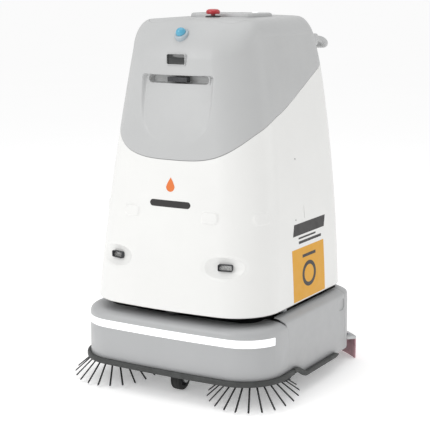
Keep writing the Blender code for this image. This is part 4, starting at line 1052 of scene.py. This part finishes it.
def handle():
    path = smooth_path([(0.150, 0.410, 0.8970), (0.151, 0.436, 0.8990), (0.153, 0.460, 0.8990),
                        (0.157, 0.478, 0.8960), (0.160, 0.490, 0.8890), (0.156, 0.4975, 0.8835),
                        (0.146, 0.4985, 0.8830), (0.130, 0.4988, 0.8830)], 7)
    radii = [0.0085 + 0.0026 * ease((i - 18) / 24) for i in range(len(path))]
    grip = tube([(x, 0.4988, 0.8830) for x in (0.134, 0.132, 0.10, 0.05, 0.0, -0.05, -0.10, -0.132,
                                               -0.134)], 0.0112, 32)
    bm = tube(path, radii, 32)
    merge(bm, tube([(-x, y, z) for x, y, z in path], radii, 32), grip)
    for side in (-1, 1):
        foot = box((side * 0.150 - 0.017, 0.405, 0.882), (side * 0.150 + 0.017, 0.4395, 0.914), 0.006)
        merge(bm, foot)
    publish(bm, "handle_bar", GREY, replaces=["push_handle"], sharp=60)


def screws():
    """Small dark caps over the casing's side screws."""
    bm = bmesh.new()
    for y, z in SIDE_SCREWS:
        for side in (-1, 1):
            half = half_width(z)
            merge(bm, rod((side * (half - 0.0020), y, z), (side * (half - 0.0006), y, z), 0.0022,
                          16))
    publish(bm, "screw_caps", DARK)


def on_side(side, y, z, out):
    return (side * (half_width(z) + out), y, z)


def side_label(side, word):
    """Amber panel and black plate on the side, with a plain pictogram of a roller and three bars."""
    def panel(low_y, high_y, low_z, high_z, low, high, lean=0.0, cells=8):
        bm = bmesh.new()
        for depth, flip in ((high, 1), (low, -1)):
            grid = [[bm.verts.new(on_side(side, low_y + (high_y - low_y) * i / cells
                                          + lean * (k / cells - 0.5),
                                          low_z + (high_z - low_z) * k / cells, depth))
                     for i in range(cells + 1)] for k in range(cells + 1)]
            for k in range(cells):
                for i in range(cells):
                    bm.faces.new((grid[k][i], grid[k][i + 1], grid[k + 1][i + 1], grid[k + 1][i]))
            edge = ([grid[0][i] for i in range(cells)] + [grid[k][cells] for k in range(cells)]
                    + [grid[cells][cells - i] for i in range(cells)]
                    + [grid[cells - k][0] for k in range(cells)])
            if flip > 0:
                upper = edge
        for i, here in enumerate(edge):
            j = (i + 1) % len(edge)
            bm.faces.new((here, edge[j], upper[j], upper[i]))
        return bm

    publish(panel(0.114, 0.300, 0.236, 0.3725, -0.0006, 0.00025), "label_amber_" + word, LABEL,
            )
    publish(panel(0.129, 0.312, 0.4065, 0.4365, -0.0006, 0.00025, 0.010), "label_plate_" + word,
            INK)
    ink = panel(0.172, 0.249, 0.345, 0.353, 0.00025, 0.0004, 0.0, 4)
    merge(ink, panel(0.155, 0.287, 0.3835, 0.3905, -0.0006, 0.00025, 0.0, 4),
          panel(0.155, 0.255, 0.3960, 0.4005, -0.0006, 0.00025, 0.0, 4))
    ring = []
    for k in range(48):
        a = 2 * math.pi * k / 48
        ring.append((math.cos(a), math.sin(a)))
    outer = [on_side(side, 0.207 + 0.040 * c, 0.2985 + 0.034 * s, 0.0004) for c, s in ring]
    inner = [on_side(side, 0.207 + 0.028 * c, 0.2985 + 0.0235 * s, 0.0004) for c, s in ring]
    low_outer = [on_side(side, 0.207 + 0.040 * c, 0.2985 + 0.034 * s, 0.00005) for c, s in ring]
    low_inner = [on_side(side, 0.207 + 0.028 * c, 0.2985 + 0.0235 * s, 0.00005) for c, s in ring]
    loft([outer, inner, low_inner, low_outer], caps=False, closed=True, bm=ink)
    publish(ink, "label_ink_" + word, INK)


def front_mark():
    """Generic drop over a rounded bar on the front, printed flush."""
    def patch(plan, name, paint):
        outer = [(x, front_point(x, z) - 0.00035, z) for x, z in plan]
        inner = [(x, front_point(x, z) + 0.0005, z) for x, z in plan]
        publish(loft([inner, outer]), name, paint)

    drop = []
    for k in range(40):
        a = 2 * math.pi * k / 40
        r = 0.0125
        x, z = r * math.sin(a), r * math.cos(a)
        if z > 0:
            x *= (1 - z / r) ** 0.55 if z < r else 0
            z *= 1.9
        drop.append((x - 0.001, z + 0.543))
    patch(drop, "mark_drop", BADGE)
    rings = []
    for i in range(41):
        x = -0.060 + 0.120 * i / 40
        half = 0.0085 * math.sqrt(max(0.04, 1 - max(0.0, (abs(x) - 0.0515) / 0.0085) ** 2))
        rings.append([(x, front_point(x, z) + y, z)
                      for y, z in ((-0.00035, 0.500 - half), (-0.00035, 0.500 + half),
                                   (0.0005, 0.500 + half), (0.0005, 0.500 - half))])
    publish(loft(rings), "mark_bar", INK)


def front_point(x, z):
    half = half_width(z)
    lean = 2 * BODY_CROWN / (half - BODY_FRONT_RADIUS)
    start_x = half - BODY_FRONT_RADIUS + BODY_FRONT_RADIUS * math.sin(lean)
    return front_line(z) + BODY_CROWN * (x / start_x) ** 2


def lidar_and_drain():
    at = Matrix.Translation((0, -0.046, 0))
    body = turned([(0, 0.2125), (0.0165, 0.2125), (0.0178, 0.2132), (0.0200, 0.2150),
                   (0.0206, 0.2165), (0.0215, 0.2190), (0.0320, 0.2245), (0.0333, 0.2258),
                   (0.0335, 0.2275), (0.0335, 0.2397), (0, 0.2397)], 64, at)
    publish(body, "scanner", DARK, replaces=["lidar"], sharp=30)
    start, end = Vector((0.236, 0.102, 0.2125)), Vector((0.236, 0.160, 0.2220))
    along = end - start
    bm = tube([start + along * t for t in (0.22, 0.4, 0.6, 0.8, 1.0)], 0.0062, 32)
    for t in (0.34, 0.46, 0.58, 0.70, 0.82):
        merge(bm, tube([start + along * (t - 0.02), start + along * (t + 0.02)], 0.0069, 32))
    publish(bm, "drain_hose", RUBBER, replaces=["drain_plug"], sharp=50)
    cap = tube([start, start + along * 0.03, start + along * 0.22, start + along * 0.25],
               [0.0052, 0.0068, 0.0068, 0.0056], 32)
    publish(cap, "drain_cap", TANK, sharp=50)


def rear_details():
    door = prism([(x, z + DOOR_Z) for x, z in rounded_rectangle(0.1494, -0.1494, 0.1494, 0.0056)],
                 "Y", BODY_REAR - 0.0058, BODY_REAR - 0.0001)
    pull = prism([(x + 0.118, z + DOOR_Z) for x, z in rounded_rectangle(0.014, -0.030, 0.030, 0.010)],
                 "Y", BODY_REAR - 0.0040, BODY_REAR + 0.01)
    vents = [box((-0.090, BODY_REAR - 0.03, 0.395 + 0.011 * i),
                 (0.040, BODY_REAR + 0.01, 0.399 + 0.011 * i), 0.0012) for i in range(7)]
    door = boolean(door, [pull] + vents)
    publish(door, "service_door", WHITE, "rear_door", ["rear_door"], bevel=0.0006)
    at = (Matrix.Translation((0.125, BODY_REAR + 0.0003, DOOR_Z))
          @ Matrix.Rotation(-math.pi / 2, 4, "X"))
    latch = turned([(0, -0.002), (0.011, -0.002), (0.011, 0.0022), (0.0104, 0.0032),
                    (0.0092, 0.0040), (0, 0.0040)], 48)
    latch = boolean(latch, [box((-0.0012, -0.0080, 0.0028), (0.0012, 0.0080, 0.01))])
    bmesh.ops.transform(latch, matrix=at, verts=latch.verts)
    publish(latch, "door_lock", STEEL, "rear_door", ["door_latch"], sharp=40)

    rear = CHASSIS_REAR
    block = box((-0.185, rear + 0.0003, 0.120), (-0.115, rear + 0.0118, 0.160), 0.0025)
    publish(block, "charge_housing", DARK, replaces=["charge_block"])
    bm = bmesh.new()
    for x in (-0.166, -0.134):
        merge(bm, box((x - 0.008, rear + 0.0100, 0.128), (x + 0.008, rear + 0.0130, 0.152),
                      0.0008))
    publish(bm, "charge_contacts", STEEL)
    duct = rod((0, DUCT_STATION, 0.1185), (0, DUCT_STATION, 0.1800), 0.0245, 48, 0.003)
    duct = boolean(duct, [rod((0, rear - 0.0040, 0.1500), (0, 0.500, 0.1500), 0.0200, 48)],
                   "UNION")
    duct = boolean(duct, [rod((0, DUCT_STATION, 0.10), (0, DUCT_STATION, 0.1690), 0.0206, 48)])
    publish(duct, "suction_elbow", DARK, replaces=["suction_duct"],
            bevel=0.0006)


def rollers():
    """Bristle sleeves wound in a spiral, on their cores."""
    for word, y, twist in (("front", 0.172, 1), ("rear", 0.264, -1)):
        body = "scrub_roller_" + word
        rings = []
        for i in range(121):
            x = -0.220 + 0.440 * i / 120
            ring = []
            for k in range(60):
                a = 2 * math.pi * k / 60
                wave = math.cos(6 * (a + twist * x * 14))
                r = 0.0393 + 0.0012 * wave
                if i in (0, 120):
                    r -= 0.002
                ring.append((x, y + r * math.cos(a), ROLLER_Z + r * math.sin(a)))
            rings.append(ring)
        publish(loft(rings), "bristle_sleeve_" + word, ROLLER, body, [body],
                sharp=60)
        core = rod((-0.2292, y, ROLLER_Z), (0.2292, y, ROLLER_Z), 0.008, 32, 0.0008)
        publish(core, "roller_core_" + word, STEEL, body)


# ---- carried-over CAD nodes --------------------------------------------------------------------
CARRIED = {
    "battery_pack": CASE, "vacuum_motor": CASE, "water_pump": CASE, "control_unit": ZINC,
    "solution_tank": TANK, "recovery_tank": TANK, "suction_riser": RUBBER,
    "side_brush_motor_left": CASE, "side_brush_motor_right": CASE,
    "drive_motor_left": CASE, "drive_motor_right": CASE,
    "chassis_frame": ZINC, "body_base": DARK, "lift_actuator": ZINC, "squeegee_guides": STEEL,
    "door_hinge_pin": STEEL, "lid_hinge_pin": STEEL, "lid_latch": DARK, "scrub_housing": DARK,
    "low_window_left": GLASS, "low_window_right": GLASS, "touch_display": GLASS,
    "power_button": BAND, "console_bezel": GREY,
}


def carry_over():
    for name, paint in CARRIED.items():
        mesh = NODES[name].data
        mesh.materials.clear()
        mesh.materials.append(paint.made)
        mesh.shade_smooth()
        mesh.set_sharp_from_angle(angle=math.radians(35))


# ---- stage ---------------------------------------------------------------------------------------
def lamp(name, kind, place, target, energy, size=1.0, colour=(1, 1, 1)):
    data = bpy.data.lights.new(name, kind)
    data.energy = energy
    data.color = colour
    if kind == "AREA":
        data.shape = "RECTANGLE"
        data.size, data.size_y = size if isinstance(size, tuple) else (size, size)
    made = bpy.data.objects.new(name, data)
    made.location = place
    made.rotation_euler = (Vector(target) - Vector(place)).to_track_quat("-Z", "Y").to_euler()
    bpy.context.scene.collection.objects.link(made)


def stage():
    bm = bmesh.new()
    bmesh.ops.create_grid(bm, x_segments=2, y_segments=2, size=600)
    mesh = bpy.data.meshes.new("floor")
    bm.to_mesh(mesh)
    bm.free()
    floor = bpy.data.objects.new("floor", mesh)
    floor.location = (0, 0, -0.0005)
    bpy.context.scene.collection.objects.link(floor)
    paint = Paint("floor", (0.95, 0.95, 0.95), 0.8)
    paint.shader.inputs["Specular IOR Level"].default_value = 0.0
    paint.shader.inputs["Emission Color"].default_value = (1, 1, 1, 1)
    paint.shader.inputs["Emission Strength"].default_value = 0.27
    paint.tint(paint.noise(0.8, 3), 0.004)
    mesh.materials.append(paint.made)
    scene = bpy.context.scene
    world = bpy.data.worlds.new("studio")
    scene.world = world
    world.use_nodes = True
    world.node_tree.nodes["Background"].inputs["Color"].default_value = (1, 1, 1, 1)
    world.node_tree.nodes["Background"].inputs["Strength"].default_value = 0.73
    scene.view_settings.view_transform = "Standard"
    lamp("key", "AREA", (-1.3, -3.0, 2.2), (0, -0.1, 0.5), 39, (2.2, 2.2))
    lamp("top", "AREA", (0.0, -0.2, 3.2), (0, 0, 0), 20, (2.6, 2.6))
    lamp("side", "AREA", (3.2, 1.4, 1.6), (0, 0, 0.5), 10, (1.6, 2.4))


def camera():
    data = bpy.data.cameras.new("camera")
    data.lens, data.sensor_width = 100, 36
    made = bpy.data.objects.new("camera", data)
    made.location = (1.596, BRUSH_LINE_Y - 2.564, 1.020)
    made.rotation_euler = (math.radians(90 - 10.48), 0, math.radians(30.35))
    bpy.context.scene.collection.objects.link(made)
    bpy.context.scene.camera = made


def main():
    camera()
    stage()
    carry_over()
    body_shell()
    sensor_housings()
    head_shell()
    lid()
    head_details()
    top_details()
    handle()
    screws()
    for side, word in ((1, "left"), (-1, "right")):
        side_label(side, word)
        side_brush(side, word)
        wheel("drive_" + word, "drive_wheel_" + word, (side * DRIVE_X, DRIVE_STATION, DRIVE_RADIUS), 0.018,
              0.045, DRIVE_RADIUS, 0.0085, "drive_wheel_" + word, 8)
    front_mark()
    covers()
    gaskets()
    strips()
    caster()
    squeegee()
    rollers()
    lidar_and_drain()
    rear_details()


main()
